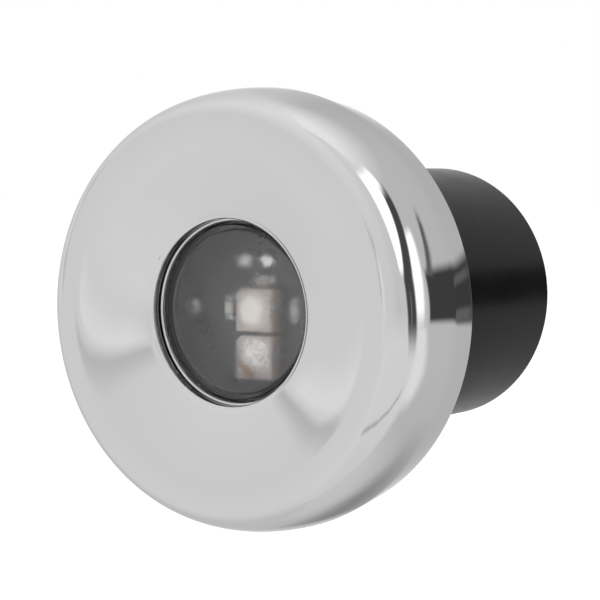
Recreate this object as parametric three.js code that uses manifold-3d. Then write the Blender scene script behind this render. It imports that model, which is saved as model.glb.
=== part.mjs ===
// A round recessed stair light. A polished cover pushes over a black moulded housing, whose barrel goes
// through the panel that it is set in. Behind the cover's window a clear lens closes a dark well with two square LEDs.
// Millimetres, +Z up. The light's axis is Y, its face looks along -Y, and y = 0 is the panel's surface.
import * as THREE from "three";
import { mergeVertices } from "three/addons/utils/BufferGeometryUtils.js";
import Module from "manifold-3d";

// Fits shared by all pieces
const seatGap = 0.3; // left where one piece seats on or in another
const solderGap = 0.1; // under a part that is soldered to its board
const cutOverrun = 1; // a cutting body runs this far past the face it cuts
const weldTolerance = 0.001;

// Facets round a full turn
const coverFacets = 60;
const bodyFacets = 44;
const ringFacets = 36;
const smallFacets = 12;
const wireFacets = 6;
const sealSides = 6; // of a round rubber ring's section
const axesPerPoint = 3;

// Polished cover
const coverDepth = 15.7; // panel to the crest of the rolled rim
const coverSideWall = 2.1; // at its widest ring
const backInset = 0.8; // of the back's outer edge from the widest ring
const widestRingDepth = 5.4; // in front of the panel
const crestInset = 3.3; // of the crest from the widest ring
const backEdgeRadius = 0.4;
const faceDish = 2.7; // the window's edge lies this far behind the crest
const coverWall = 1.2;
const coverBoreClearance = 0.6; // round the flange
const coverBoreDepth = 6; // straight part of the bore
const boreCrestInset = 2; // from the bore to where the inner shoulder meets the back of the face
const windowInset = 3.7; // of the window's edge from the lens's
const windowEdgeRadius = 0.35;
const dishPullShare = 0.5; // how far along the face its curve keeps level with the crest

// Housing: collar, flange and barrel in one moulding
const barrelRadius = 17.1;
const barrelLength = 36.65;
const barrelWall = 1.8;
const barrelEndChamfer = 0.4;
const collarStep = 0.2; // of the collar in from the barrel
const collarWall = 1.7;
const flangeThickness = 3.4;
const flangeEdgeChamfer = 0.3;
const ledgeWidth = 1.8; // of the seat under the lens's edge
const ledgeFilletRadius = 0.6;
const flangeRibCount = 6;
const flangeRibThickness = 1.2;
const flangeRibHeight = 4;
const flangeRibReach = 4.6;
const railReach = 2.2; // from the barrel's bore inwards
const railThickness = 1;
const bossRadius = 2.2;
const bossDepth = 5;
const bossWebThickness = 2.2;

// Screw slots through the flange and its gasket
const slotLand = 0.5; // left beside the head recess
const slotWidth = 3.4;
const slotArc = THREE.MathUtils.degToRad(26);
const headRecessWidth = 5.2;
const headRecessDepth = 1.2;
const slotSides = [0, Math.PI];

// Flange gasket and cover grip ring
const gasketThickness = 1;
const gasketInset = 0.5;
const gripSection = 0.6;

// Lens, its retaining ring, its seal and the light well
const lensThickness = 1;
const lensBossInset = 0.6; // of the raised middle from the window's edge
const lensBossHeight = 1;
const lensBossChamfer = 0.4;
const lensRingThickness = 0.9;
const lensRingChamfer = 0.3;
const spannerHoleRadius = 0.6;
const lensSealWidth = 1.5;
const lensSealThickness = 0.8;
const wellWall = 0.7;
const wellLip = 0.7;
const wellLipThickness = 0.6;
const wellLength = 3.5;

// LED board
const boardThickness = 1.4;
const boardNotchRadius = 1.3;
const padThickness = 0.6;
const padInset = 0.8;
const ledSize = 5;
const ledHeight = 1.9;
const ledCorner = 0.7;
const ledPitch = 5.7;
const ledCupRadius = 2;
const ledCupDepth = 0.5;
const phosphorThickness = 0.35;
const resistorLength = 2;
const resistorWidth = 1.25;
const resistorHeight = 0.55;
const resistorCapLength = 0.4;
const resistorCapRise = 0.06;
const resistorSideOffset = 4.85; // from the light's axis to each side resistor
const resistorTopOffset = 3.55;
const boardScrewInset = 2.6; // from the board's edge
const boardScrewHeadRadius = 1.3;
const boardScrewHeadHeight = 0.9;
const boardScrewShankRadius = 0.75;
const boardScrewBite = 2.2; // length of shank in the heat sink
const screwCrown = 0.25;
const crossWidth = 0.35;
const crossDepth = 0.45;

// Heat sink
const sinkDiscThickness = 3;
const finLength = 9;
const finThickness = 1.1;
const finPitchesInRadius = 3;
const finPitchShares = [-2.5, -1.5, -0.5, 0.5, 1.5, 2.5]; // from the axis

// Leads from the driver board to the LED board
const leadRadius = 0.6;
const leadHeight = 6; // above the axis
const redLeadShare = -0.625; // of the free width beside the axis
const blackLeadSide = 0.4;
const solderRadius = 0.9;
const solderHeight = 0.55;
const leadSteps = 16;

// Driver board and what is on it
const driverThickness = 1.6;
const driverTop = -2.4; // its upper face, from the axis
const driverStandOff = 1.6; // behind the fins
const capacitorShare = 0.24; // its radius as a share of the barrel's clear bore
const capacitorLength = 9.2;
const capacitorBead = 0.35;
const inductorRadius = 3.6;
const inductorHeight = 5.4;
const inductorWaist = 2.8;
const inductorFlange = 0.9;
const rectifierWidth = 6;
const rectifierLength = 5;
const rectifierHeight = 2.4;
const rectifierChamfer = 0.6;
const chipWidth = 4;
const chipLength = 5;
const chipHeight = 1.5;
const chipNotchRadius = 0.5;
const varistorRadius = 3;
const varistorThickness = 2.4;
const varistorEdge = 0.6;
const terminalWidth = 7.4;
const terminalLength = 3.8;
const terminalHeight = 5;
const terminalHoleRadius = 1.1;
const terminalPitch = 3.5;
const driverRowGap = 1; // between the rows of parts along the board
const driverPartGap = 0.2; // between the varistor and the chip behind it

// Rear cap, its seal and screws
const capThickness = 3;
const capRecess = 0.3;
const capSealSection = 0.7;
const capSealSqueezeGap = 0.2;
const capScrewInset = 4; // from the cap's edge
const capScrewCount = 3;
const capScrewHeadRadius = 1.9;
const capScrewHeadHeight = 1.3;
const capScrewShankRadius = 1;
const capScrewBite = 4;
const capEdgeChamfer = 0.3;

// Cable gland: a stub on the rear cap, a rubber grommet and a nut
const cableRadius = 3.2; // the grommet's bore
const stubRadius = 5.4;
const stubLength = 5;
const stubLipThickness = 0.9;
const grommetWall = 0.6;
const grommetFlangeRadius = 5.2;
const grommetFlangeThickness = 1;
const nutSideWall = 1.5; // at the middle of each flat
const nutSides = 6;
const nutEndWall = 1.4;
const nutStandOff = 1.2;
const nutConeShare = 0.3; // of its length
const nutConeInset = 1.6;

// Places along the axis, worked out from the front backwards
const lipBack = -(coverDepth - faceDish - coverWall);
const lensRingFront = lipBack + seatGap;
const lensRingBack = lensRingFront + lensRingThickness;
const lensFlangeFront = lensRingBack + seatGap;
const lensBack = lensFlangeFront + lensThickness;
const lensSealFront = lensBack + seatGap;
const lensSealBack = lensSealFront + lensSealThickness;
const ledgeFront = lensSealBack + seatGap;
const wellFront = lensBack + seatGap;
const wellBack = wellFront + wellLength;
const boardFront = wellBack + seatGap;
const boardBack = boardFront + boardThickness;
const padFront = boardBack + seatGap;
const padBack = padFront + padThickness;
const sinkFront = padBack + seatGap;
const ledgeBack = padBack;
const finEnd = sinkFront + sinkDiscThickness + finLength;
const driverFront = finEnd + driverStandOff;
const leadRow = driverFront + leadRadius + driverStandOff + leadRadius + driverRowGap;
const chipFront = leadRow + varistorRadius + varistorRadius + driverPartGap;
const driverBack = chipFront + chipLength + driverRowGap;
const flangeBack = -(gasketThickness + seatGap);
const flangeFront = flangeBack - flangeThickness;
const capBack = barrelLength - capRecess;
const capFront = capBack - capThickness;
const bossBack = capFront - seatGap;

// Radii that follow from their neighbours
const barrelBore = barrelRadius - barrelWall;
const clearBore = barrelBore - seatGap;
const collarRadius = barrelRadius - collarStep;
const collarBore = collarRadius - collarWall;
const lensRadius = collarBore - seatGap;
const windowRadius = lensRadius - windowInset;
const lensBossRadius = windowRadius - lensBossInset;
const ledgeBoreRadius = lensRadius - ledgeWidth;
const boardRadius = ledgeBoreRadius - seatGap;
const boardScrewOffset = boardRadius - boardScrewInset;
const slotCircleRadius = collarRadius + slotLand + headRecessWidth / 2;
const gripGrooveRadius = slotCircleRadius + headRecessWidth / 2 + slotLand;
const gripRingRadius = gripGrooveRadius + seatGap + gripSection;
const coverBoreRadius = gripRingRadius + gripSection + seatGap;
const flangeRadius = coverBoreRadius - coverBoreClearance;
const coverRadius = coverBoreRadius + coverSideWall;
const coverBackRadius = coverRadius - backInset;
const crestRadius = coverRadius - crestInset;
const boreCrestRadius = coverBoreRadius - boreCrestInset;
const finPitch = clearBore / finPitchesInRadius;
const capScrewCircleRadius = clearBore - capScrewInset;
const capSealRadius = barrelBore - capSealSqueezeGap - capSealSection;
const capGrooveRadius = capSealRadius - capSealSection - seatGap;
const leadHoleRadius = leadRadius + seatGap;
const boardScrewHole = boardScrewShankRadius + seatGap;
const capScrewHole = capScrewShankRadius + seatGap;
const grommetRadius = cableRadius + grommetWall;
const stubBore = grommetRadius + seatGap;
const nutBore = stubRadius + seatGap;
const nutRadius = (nutBore + nutSideWall) / Math.cos(Math.PI / nutSides); // at its corners

// The driver parts' places across the board, clear of its rails and of each other
const outerPartSide = barrelBore - railReach - driverRowGap - terminalWidth / 2;
const rectifierInner = outerPartSide - rectifierWidth / 2;
const terminalInner = terminalWidth / 2 - outerPartSide;
const middlePartSide = (rectifierInner + terminalInner) / 2;
const capacitorRadius = clearBore * capacitorShare;
const redLeadSide = (outerPartSide - capacitorRadius) * redLeadShare;

const wasm = await Module();
wasm.setup();

// Materials, one for each finish
const finishes = {
  polishedMetal: { color: 0xd6d6d8, metalness: 1, roughness: 0.06 },
  brightMetal: { color: 0xc9c9cc, metalness: 1, roughness: 0.2 },
  aluminium: { color: 0xb4b6ba, metalness: 1, roughness: 0.4 },
  steelScrew: { color: 0xa9aaad, metalness: 1, roughness: 0.35 },
  blackMoulding: { color: 0x1b1b1c, metalness: 0, roughness: 0.38 },
  blackRubber: { color: 0x202021, metalness: 0, roughness: 0.8 },
  greyFoam: { color: 0x4a4b4d, metalness: 0, roughness: 0.95 },
  clearGlass: { color: 0xf4f6f7, metalness: 0, roughness: 0.03, transparent: true, opacity: 0.35 },
  darkWell: { color: 0x2a2a2c, metalness: 0, roughness: 0.45 },
  darkBoard: { color: 0x5e5c61, metalness: 0, roughness: 0.55 },
  greenBoard: { color: 0x2f5a38, metalness: 0, roughness: 0.5 },
  ledCeramic: { color: 0xd9d3cf, metalness: 0, roughness: 0.5 },
  phosphor: { color: 0xd8a060, metalness: 0, roughness: 0.6 },
  resistorBody: { color: 0xbab7b3, metalness: 0, roughness: 0.5 },
  greyPad: { color: 0x9aa0a6, metalness: 0, roughness: 0.9 },
  redInsulation: { color: 0xa82018, metalness: 0, roughness: 0.5 },
  blackInsulation: { color: 0x191919, metalness: 0, roughness: 0.5 },
  blackComponent: { color: 0x232325, metalness: 0, roughness: 0.5 },
  capacitorSleeve: { color: 0x27304f, metalness: 0, roughness: 0.4 },
  ferrite: { color: 0x3a3a3e, metalness: 0, roughness: 0.7 },
  varistorBlue: { color: 0x2c5c9c, metalness: 0, roughness: 0.5 },
  terminalGreen: { color: 0x2f7d46, metalness: 0, roughness: 0.5 },
};

const light = new THREE.Group();
const insides = new THREE.Group();
const driver = new THREE.Group();
light.add(insides);
insides.add(driver);

// Adds a named piece, from a geometry or a solid, at a place of its own.
function addPiece(parent, name, shape, finish, place = [0, 0, 0]) {
  const geometry = shape.isBufferGeometry ? shape : geometryOf(shape);
  const mesh = new THREE.Mesh(geometry, new THREE.MeshStandardMaterial(finishes[finish]));
  mesh.name = name;
  mesh.position.set(...place);
  parent.add(mesh);
  return mesh;
}

// A three.js geometry as a closed solid.
function solidOf(geometry) {
  const bare = geometry.clone();
  bare.deleteAttribute("normal");
  bare.deleteAttribute("uv");
  const merged = mergeVertices(bare, weldTolerance);
  return new wasm.Manifold(
    new wasm.Mesh({
      numProp: axesPerPoint,
      vertProperties: merged.attributes.position.array,
      triVerts: new Uint32Array(merged.index.array),
    }),
  );
}

// A closed solid as a three.js geometry.
function geometryOf(body) {
  const mesh = body.getMesh();
  const geometry = new THREE.BufferGeometry();
  const points = new THREE.BufferAttribute(new Float32Array(mesh.vertProperties), mesh.numProp);
  geometry.setAttribute("position", points);
  geometry.setIndex(new THREE.BufferAttribute(new Uint32Array(mesh.triVerts), 1));
  geometry.computeVertexNormals();
  return geometry;
}

// A profile of [radius, y] points turned about the light's axis. A profile clear of the axis is closed.
function turned(profile, facets) {
  const points = profile.map(([radius, y]) => new THREE.Vector2(radius, y));
  if (THREE.ShapeUtils.area(points) < 0) points.reverse();
  const onAxis = points.filter((point) => point.x === 0).length;
  if (onAxis === 0) points.push(points[0].clone());
  else while (points[0].x !== 0 || points[points.length - 1].x !== 0) points.push(points.shift());
  return new THREE.LatheGeometry(points, facets);
}

// A flat outline in x and z, made solid from the plane y = front to the plane y = back.
function plate(outline, front, back, curveSegments = smallFacets / 2) {
  const geometry = new THREE.ExtrudeGeometry(outline, {
    depth: back - front,
    bevelEnabled: false,
    curveSegments,
  });
  return geometry.rotateX(Math.PI / 2).translate(0, back, 0);
}

// A round bar along the light's axis at a place in x and z.
function bar(radius, front, back, x = 0, z = 0, facets = smallFacets) {
  const geometry = turned([[0, front], [radius, front], [radius, back], [0, back]], facets);
  return solidOf(geometry.translate(x, 0, z));
}

// A round ring along the light's axis.
function ring(innerRadius, outerRadius, front, back, facets) {
  const corners = [[innerRadius, front], [outerRadius, front], [outerRadius, back], [innerRadius, back]];
  return solidOf(turned(corners, facets));
}

// A box from its lower to its upper corner.
function block(low, high) {
  const size = high.map((value, axis) => value - low[axis]);
  const geometry = new THREE.BoxGeometry(...size);
  return solidOf(geometry.translate(...low.map((value, axis) => value + size[axis] / 2)));
}

// A ring of round section about the light's axis.
function roundRing(ringRadius, section, y, facets) {
  const points = [];
  for (let side = 0; side < sealSides; side += 1) {
    const angle = (side * 2 * Math.PI) / sealSides;
    points.push([ringRadius + section * Math.cos(angle), y + section * Math.sin(angle)]);
  }
  return turned(points, facets);
}

// A slot that follows a circle about the axis, with round ends.
function arcSlot(middleAngle, width) {
  const half = width / 2;
  const start = middleAngle - slotArc / 2;
  const end = middleAngle + slotArc / 2;
  const outline = new THREE.Shape();
  const endCentre = (angle) => [slotCircleRadius * Math.cos(angle), slotCircleRadius * Math.sin(angle)];
  outline.absarc(0, 0, slotCircleRadius + half, start, end, false);
  outline.absarc(...endCentre(end), half, end, end + Math.PI, false);
  outline.absarc(0, 0, slotCircleRadius - half, end, start, true);
  outline.absarc(...endCentre(start), half, start + Math.PI, start + 2 * Math.PI, false);
  return outline;
}

function roundOutline(radius) {
  return new THREE.Shape().absarc(0, 0, radius, 0, 2 * Math.PI, false);
}

// The cover's face in section, as one curve from the crest of the rolled rim in to the window's edge
function faceCurve() {
  const pull = (crestRadius - windowRadius) * dishPullShare;
  return new THREE.QuadraticBezierCurve(
    new THREE.Vector2(crestRadius, -coverDepth),
    new THREE.Vector2(crestRadius - pull, -coverDepth),
    new THREE.Vector2(windowRadius, faceDish - coverDepth),
  );
}

// Points of the face's curve between two radii, moved back by a wall's thickness
function facePoints(innerRadius, outerRadius, wall, steps) {
  return faceCurve()
    .getPoints(steps)
    .filter((point) => point.x > innerRadius && point.x < outerRadius)
    .map((point) => [point.x, point.y + wall]);
}

// A quarter of an ellipse in section, from its side at sideY round to its crest
function shoulderPoints(sideRadius, sideY, topRadius, topY, steps) {
  const points = [];
  for (let step = 0; step <= steps; step += 1) {
    const angle = ((Math.PI / 2) * step) / steps;
    const radius = topRadius + (sideRadius - topRadius) * Math.cos(angle);
    points.push([radius, sideY + (topY - sideY) * Math.sin(angle)]);
  }
  return points;
}

function makeCover() {
  const edgeRadius = windowRadius + windowEdgeRadius;
  const edgeFront = faceDish - coverDepth;
  const innerTop = coverWall - coverDepth;
  const inner = shoulderPoints(coverBoreRadius, -coverBoreDepth, boreCrestRadius, innerTop, 4);
  const profile = [
    [coverBoreRadius, 0],
    [coverBackRadius - backEdgeRadius, 0],
    [coverBackRadius, -backEdgeRadius],
    ...shoulderPoints(coverRadius, -widestRingDepth, crestRadius, -coverDepth, 7),
    ...facePoints(edgeRadius, crestRadius, 0, 6),
    [edgeRadius, edgeFront],
    [windowRadius, edgeFront + windowEdgeRadius],
    [windowRadius, lipBack],
    ...facePoints(edgeRadius, boreCrestRadius, coverWall, 3).reverse(),
    ...inner.reverse(),
  ];
  return turned(profile, coverFacets);
}

function makeHousing() {
  const grooveHalf = gripSection + seatGap;
  const grooveMiddle = (flangeFront + flangeBack) / 2;
  const profile = [
    [collarRadius, lensRingFront],
    [collarRadius, flangeFront],
    [flangeRadius - flangeEdgeChamfer, flangeFront],
    [flangeRadius, flangeFront + flangeEdgeChamfer],
    [flangeRadius, grooveMiddle - grooveHalf],
    [gripGrooveRadius, grooveMiddle - grooveHalf],
    [gripGrooveRadius, grooveMiddle + grooveHalf],
    [flangeRadius, grooveMiddle + grooveHalf],
    [flangeRadius, flangeBack],
    [barrelRadius, flangeBack],
    [barrelRadius, barrelLength - barrelEndChamfer],
    [barrelRadius - barrelEndChamfer, barrelLength],
    [barrelBore, barrelLength],
    [barrelBore, ledgeBack],
    [ledgeBoreRadius, ledgeBack],
    [ledgeBoreRadius, ledgeFront + ledgeFilletRadius],
    [ledgeBoreRadius + ledgeFilletRadius, ledgeFront],
    [collarBore, ledgeFront],
    [collarBore, lensRingFront],
  ];
  let body = solidOf(turned(profile, bodyFacets));
  for (const rib of flangeRibs()) body = body.add(rib);
  for (const rail of driverRails()) body = body.add(rail);
  for (const boss of capBosses()) body = body.add(boss);
  for (const cutter of flangeSlotCutters()) body = body.subtract(cutter);
  for (const angle of capScrewAngles()) {
    const [x, z] = onCircle(capScrewCircleRadius, angle);
    const holeFront = bossBack - capScrewBite - seatGap;
    body = body.subtract(bar(capScrewHole, holeFront, bossBack + cutOverrun, x, z));
  }
  return body;
}

// Three-cornered ribs that stiffen the flange against the collar, clear of the screw slots
function flangeRibs() {
  const outline = new THREE.Shape([
    new THREE.Vector2(collarRadius - seatGap, flangeFront + seatGap),
    new THREE.Vector2(collarRadius + flangeRibReach, flangeFront + seatGap),
    new THREE.Vector2(collarRadius + flangeRibReach, flangeFront),
    new THREE.Vector2(collarRadius, flangeFront - flangeRibHeight),
    new THREE.Vector2(collarRadius - seatGap, flangeFront - flangeRibHeight),
  ]);
  const ribs = [];
  for (let index = 0; index < flangeRibCount; index += 1) {
    const geometry = new THREE.ExtrudeGeometry(outline, { depth: flangeRibThickness, bevelEnabled: false });
    geometry.translate(0, 0, -flangeRibThickness / 2);
    geometry.rotateY(((index + 1 / 2) * 2 * Math.PI) / flangeRibCount);
    ribs.push(solidOf(geometry));
  }
  return ribs;
}

// Two pairs of rails along the barrel's bore that hold the driver board by its edges
function driverRails() {
  const rails = [];
  const low = driverTop - driverThickness - seatGap - railThickness;
  const high = driverTop + seatGap;
  for (const side of [-1, 1]) {
    for (const bottom of [low, high]) {
      const ends = [side * (barrelBore - railReach), side * (barrelBore + barrelWall / 2)];
      const [left, right] = ends.sort((a, b) => a - b);
      rails.push(block([left, driverFront, bottom], [right, driverBack, bottom + railThickness]));
    }
  }
  return rails;
}

function capScrewAngles() {
  const angles = [];
  for (let index = 0; index < capScrewCount; index += 1) {
    angles.push(Math.PI / 2 + (index * 2 * Math.PI) / capScrewCount);
  }
  return angles;
}

function onCircle(radius, angle) {
  return [radius * Math.cos(angle), radius * Math.sin(angle)];
}

// Bosses for the rear cap's screws, each webbed to the barrel's wall
function capBosses() {
  const front = bossBack - bossDepth;
  return capScrewAngles().map((angle) => {
    const [x, z] = onCircle(capScrewCircleRadius, angle);
    const webEnd = barrelBore + barrelWall / 2;
    const half = bossWebThickness / 2;
    const web = block([capScrewCircleRadius, front, -half], [webEnd, bossBack, half]);
    const turn = THREE.MathUtils.radToDeg(-angle);
    return bar(bossRadius, front, bossBack, x, z).add(web.rotate([0, turn, 0]));
  });
}

// The flange's screw slots, each with a recess for the screw's head
function flangeSlotCutters() {
  const cutters = [];
  for (const side of slotSides) {
    const front = flangeFront - cutOverrun;
    const through = plate(arcSlot(side, slotWidth), front, flangeBack + cutOverrun);
    const recess = plate(arcSlot(side, headRecessWidth), front, flangeFront + headRecessDepth);
    cutters.push(solidOf(through), solidOf(recess));
  }
  return cutters;
}

function makeGasket() {
  const inner = barrelRadius + seatGap;
  let body = ring(inner, flangeRadius - gasketInset, -gasketThickness, 0, bodyFacets);
  for (const side of slotSides) {
    const cutter = plate(arcSlot(side, slotWidth), -gasketThickness - cutOverrun, cutOverrun);
    body = body.subtract(solidOf(cutter));
  }
  return body;
}

function makeLens() {
  const bossFront = lensFlangeFront - lensBossHeight;
  const profile = [
    [0, bossFront],
    [lensBossRadius - lensBossChamfer, bossFront],
    [lensBossRadius, bossFront + lensBossChamfer],
    [lensBossRadius, lensFlangeFront],
    [lensRadius, lensFlangeFront],
    [lensRadius, lensBack],
    [0, lensBack],
  ];
  return turned(profile, ringFacets);
}

// The ring that holds the lens down, with two holes for a pin spanner
function makeLensRing() {
  const inner = lensBossRadius + seatGap;
  const profile = [
    [inner, lensRingFront + lensRingChamfer],
    [inner + lensRingChamfer, lensRingFront],
    [lensRadius, lensRingFront],
    [lensRadius, lensRingBack],
    [inner, lensRingBack],
  ];
  let body = solidOf(turned(profile, ringFacets));
  const holeCircle = (inner + lensRadius) / 2;
  for (const angle of slotSides) {
    const [x, z] = onCircle(holeCircle, angle);
    const back = lensRingBack + cutOverrun;
    body = body.subtract(bar(spannerHoleRadius, lensRingFront - cutOverrun, back, x, z));
  }
  return body;
}

function makeLensSeal() {
  return ring(lensRadius - lensSealWidth, lensRadius, lensSealFront, lensSealBack, ringFacets);
}

// The dark tube between the lens and the LED board, with a thin lip in front
function makeWell() {
  const inner = boardRadius - wellWall;
  const profile = [
    [inner - wellLip, wellFront],
    [boardRadius, wellFront],
    [boardRadius, wellBack],
    [inner, wellBack],
    [inner, wellFront + wellLipThickness],
    [inner - wellLip, wellFront + wellLipThickness],
  ];
  return turned(profile, ringFacets);
}

// Holes for the board's screws and the leads, from front to back
function boardHoles(front, back) {
  const holes = [-boardScrewOffset, boardScrewOffset].map((x) => bar(boardScrewHole, front, back, x));
  for (const x of [redLeadSide, blackLeadSide]) holes.push(bar(leadHoleRadius, front, back, x, leadHeight));
  return holes;
}

function makeBoard() {
  let body = solidOf(plate(roundOutline(boardRadius), boardFront, boardBack, ringFacets / 2));
  for (const z of [-boardRadius, boardRadius]) {
    body = body.subtract(bar(boardNotchRadius, boardFront - cutOverrun, boardBack + cutOverrun, 0, z));
  }
  for (const hole of boardHoles(boardFront - cutOverrun, boardBack + cutOverrun)) body = body.subtract(hole);
  return body;
}

function makePad() {
  let body = solidOf(plate(roundOutline(boardRadius - padInset), padFront, padBack, ringFacets / 2));
  for (const hole of boardHoles(padFront - cutOverrun, padBack + cutOverrun)) body = body.subtract(hole);
  return body;
}

// A square LED package about its own centre, with one cut corner and a round cup in its front
function makeLed() {
  const half = ledSize / 2;
  const outline = new THREE.Shape([
    new THREE.Vector2(-half, -half),
    new THREE.Vector2(half, -half),
    new THREE.Vector2(half, half),
    new THREE.Vector2(ledCorner - half, half),
    new THREE.Vector2(-half, half - ledCorner),
  ]);
  const body = solidOf(plate(outline, -ledHeight, 0));
  return body.subtract(bar(ledCupRadius, -ledHeight - cutOverrun, ledCupDepth - ledHeight));
}

function makePhosphor() {
  const back = ledCupDepth - ledHeight - solderGap;
  return bar(ledCupRadius - solderGap, back - phosphorThickness, back);
}

// A chip resistor about its own centre: a ceramic block with a raised metal cap at each end
function makeResistor() {
  const half = resistorLength / 2;
  const side = resistorWidth / 2;
  const inner = half - resistorCapLength;
  const wide = side + resistorCapRise;
  const front = -resistorHeight;
  return block([-inner - seatGap, front, -side], [inner + seatGap, 0, side])
    .add(block([-half, front - resistorCapRise, -wide], [-inner, 0, wide]))
    .add(block([inner, front - resistorCapRise, -wide], [half, 0, wide]));
}

// A pan-head screw about its own axis. The head's seat is at y = 0 and the shank goes along +Y.
function makeScrew(headRadius, headHeight, shankRadius, shankLength) {
  const profile = [
    [0, -headHeight],
    [headRadius - screwCrown, -headHeight],
    [headRadius, screwCrown - headHeight],
    [headRadius, 0],
    [shankRadius, 0],
    [shankRadius, shankLength - shankRadius / 2],
    [shankRadius / 2, shankLength],
    [0, shankLength],
  ];
  const reach = headRadius - screwCrown - crossWidth;
  const half = crossWidth / 2;
  const front = -headHeight - cutOverrun;
  const back = crossDepth - headHeight;
  const cross = block([-reach, front, -half], [reach, back, half]);
  const upright = block([-half, front, -reach], [half, back, reach]);
  return solidOf(turned(profile, smallFacets)).subtract(cross.add(upright));
}

// A round disc with upright fins behind it, trimmed to the barrel's bore
function makeHeatSink() {
  const discBack = sinkFront + sinkDiscThickness;
  let body = bar(clearBore, sinkFront, discBack, 0, 0, ringFacets);
  const envelope = bar(clearBore, sinkFront, finEnd, 0, 0, ringFacets);
  for (const share of finPitchShares) {
    const bottom = share * finPitch - finThickness / 2;
    const fin = block([-clearBore, discBack - seatGap, bottom], [clearBore, finEnd, bottom + finThickness]);
    body = body.add(fin.intersect(envelope));
  }
  for (const x of [redLeadSide, blackLeadSide]) {
    body = body.subtract(bar(leadHoleRadius, sinkFront - cutOverrun, finEnd + cutOverrun, x, leadHeight));
  }
  for (const x of [-boardScrewOffset, boardScrewOffset]) {
    const holeBack = sinkFront + boardScrewBite + seatGap;
    body = body.subtract(bar(boardScrewHole, sinkFront - cutOverrun, holeBack, x));
  }
  return body;
}

// An insulated lead from its solder joint on the LED board back between the fins to the driver board
function makeLead(x) {
  const start = boardFront - solderGap - solderHeight / 2;
  const end = driverTop + seatGap;
  const bend = driverFront + leadRadius;
  const path = new THREE.CatmullRomCurve3(
    [
      new THREE.Vector3(x, start, leadHeight),
      new THREE.Vector3(x, sinkFront, leadHeight),
      new THREE.Vector3(x, finEnd - driverStandOff, leadHeight),
      new THREE.Vector3(x, bend, leadHeight - driverStandOff),
      new THREE.Vector3(x, bend + driverStandOff, (leadHeight + end) / 2),
      new THREE.Vector3(x, bend + driverStandOff, end),
    ],
    false,
    "centripetal",
  );
  const section = new THREE.Shape();
  for (let side = 0; side < wireFacets; side += 1) {
    const angle = (side * 2 * Math.PI) / wireFacets;
    const [across, up] = onCircle(leadRadius, angle);
    if (side === 0) section.moveTo(across, up);
    else section.lineTo(across, up);
  }
  const wire = solidOf(new THREE.ExtrudeGeometry(section, { steps: leadSteps, extrudePath: path }));
  const jointBack = boardFront - solderGap;
  const joint = [
    [0, jointBack - solderHeight],
    [solderRadius / 2, jointBack - solderHeight],
    [solderRadius, jointBack - solderHeight / 2],
    [solderRadius, jointBack],
    [0, jointBack],
  ];
  return wire.add(solidOf(turned(joint, smallFacets).translate(x, 0, leadHeight)));
}

function makeDriverBoard() {
  const reach = Math.sqrt(barrelBore ** 2 - (driverTop - driverThickness) ** 2) - seatGap;
  return block([-reach, driverFront, driverTop - driverThickness], [reach, driverBack, driverTop]);
}

// A can capacitor lying along the light's axis, with the rolled bead near its sealed end
function makeCapacitor() {
  const bead = capacitorRadius - capacitorBead;
  const profile = [
    [0, 0],
    [capacitorRadius - capacitorBead, 0],
    [capacitorRadius, capacitorBead],
    [capacitorRadius, 2 * capacitorBead],
    [bead, 3 * capacitorBead],
    [capacitorRadius, 4 * capacitorBead],
    [capacitorRadius, capacitorLength - capacitorBead],
    [capacitorRadius - capacitorBead, capacitorLength],
    [0, capacitorLength],
  ];
  return turned(profile, smallFacets);
}

// A drum-core inductor standing on the driver board
function makeInductor() {
  const profile = [
    [0, 0],
    [inductorRadius, 0],
    [inductorRadius, inductorFlange],
    [inductorWaist, inductorFlange],
    [inductorWaist, inductorHeight - inductorFlange],
    [inductorRadius, inductorHeight - inductorFlange],
    [inductorRadius, inductorHeight],
    [0, inductorHeight],
  ];
  return turned(profile, smallFacets).rotateX(Math.PI / 2);
}

// A block rectifier with one cut edge along its top
function makeRectifier() {
  const half = rectifierWidth / 2;
  const outline = new THREE.Shape([
    new THREE.Vector2(-half, 0),
    new THREE.Vector2(half, 0),
    new THREE.Vector2(half, rectifierHeight),
    new THREE.Vector2(rectifierChamfer - half, rectifierHeight),
    new THREE.Vector2(-half, rectifierHeight - rectifierChamfer),
  ]);
  return plate(outline, 0, rectifierLength);
}

// A driver chip with the half-round notch that marks its first pin
function makeChip() {
  const half = chipWidth / 2;
  const body = block([-half, 0, 0], [half, chipLength, chipHeight]);
  const notch = new THREE.CylinderGeometry(chipNotchRadius, chipNotchRadius, chipHeight, smallFacets);
  notch.rotateX(Math.PI / 2).translate(0, 0, chipHeight);
  return body.subtract(solidOf(notch));
}

// A disc varistor standing on edge across the light
function makeVaristor() {
  const half = varistorThickness / 2;
  const profile = [
    [0, -half],
    [varistorRadius - varistorEdge, -half],
    [varistorRadius, varistorEdge - half],
    [varistorRadius, half - varistorEdge],
    [varistorRadius - varistorEdge, half],
    [0, half],
  ];
  return turned(profile, smallFacets).rotateZ(Math.PI / 2);
}

// A two-pole terminal block, with its wire holes facing the rear
function makeTerminal() {
  const half = terminalWidth / 2;
  let body = block([-half, 0, 0], [half, terminalLength, terminalHeight]);
  for (const side of [-1, 1]) {
    const x = (side * terminalPitch) / 2;
    const hole = bar(terminalHoleRadius, terminalLength / 2, terminalLength + cutOverrun, x, terminalHeight / 2);
    body = body.subtract(hole);
  }
  return body;
}

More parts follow.
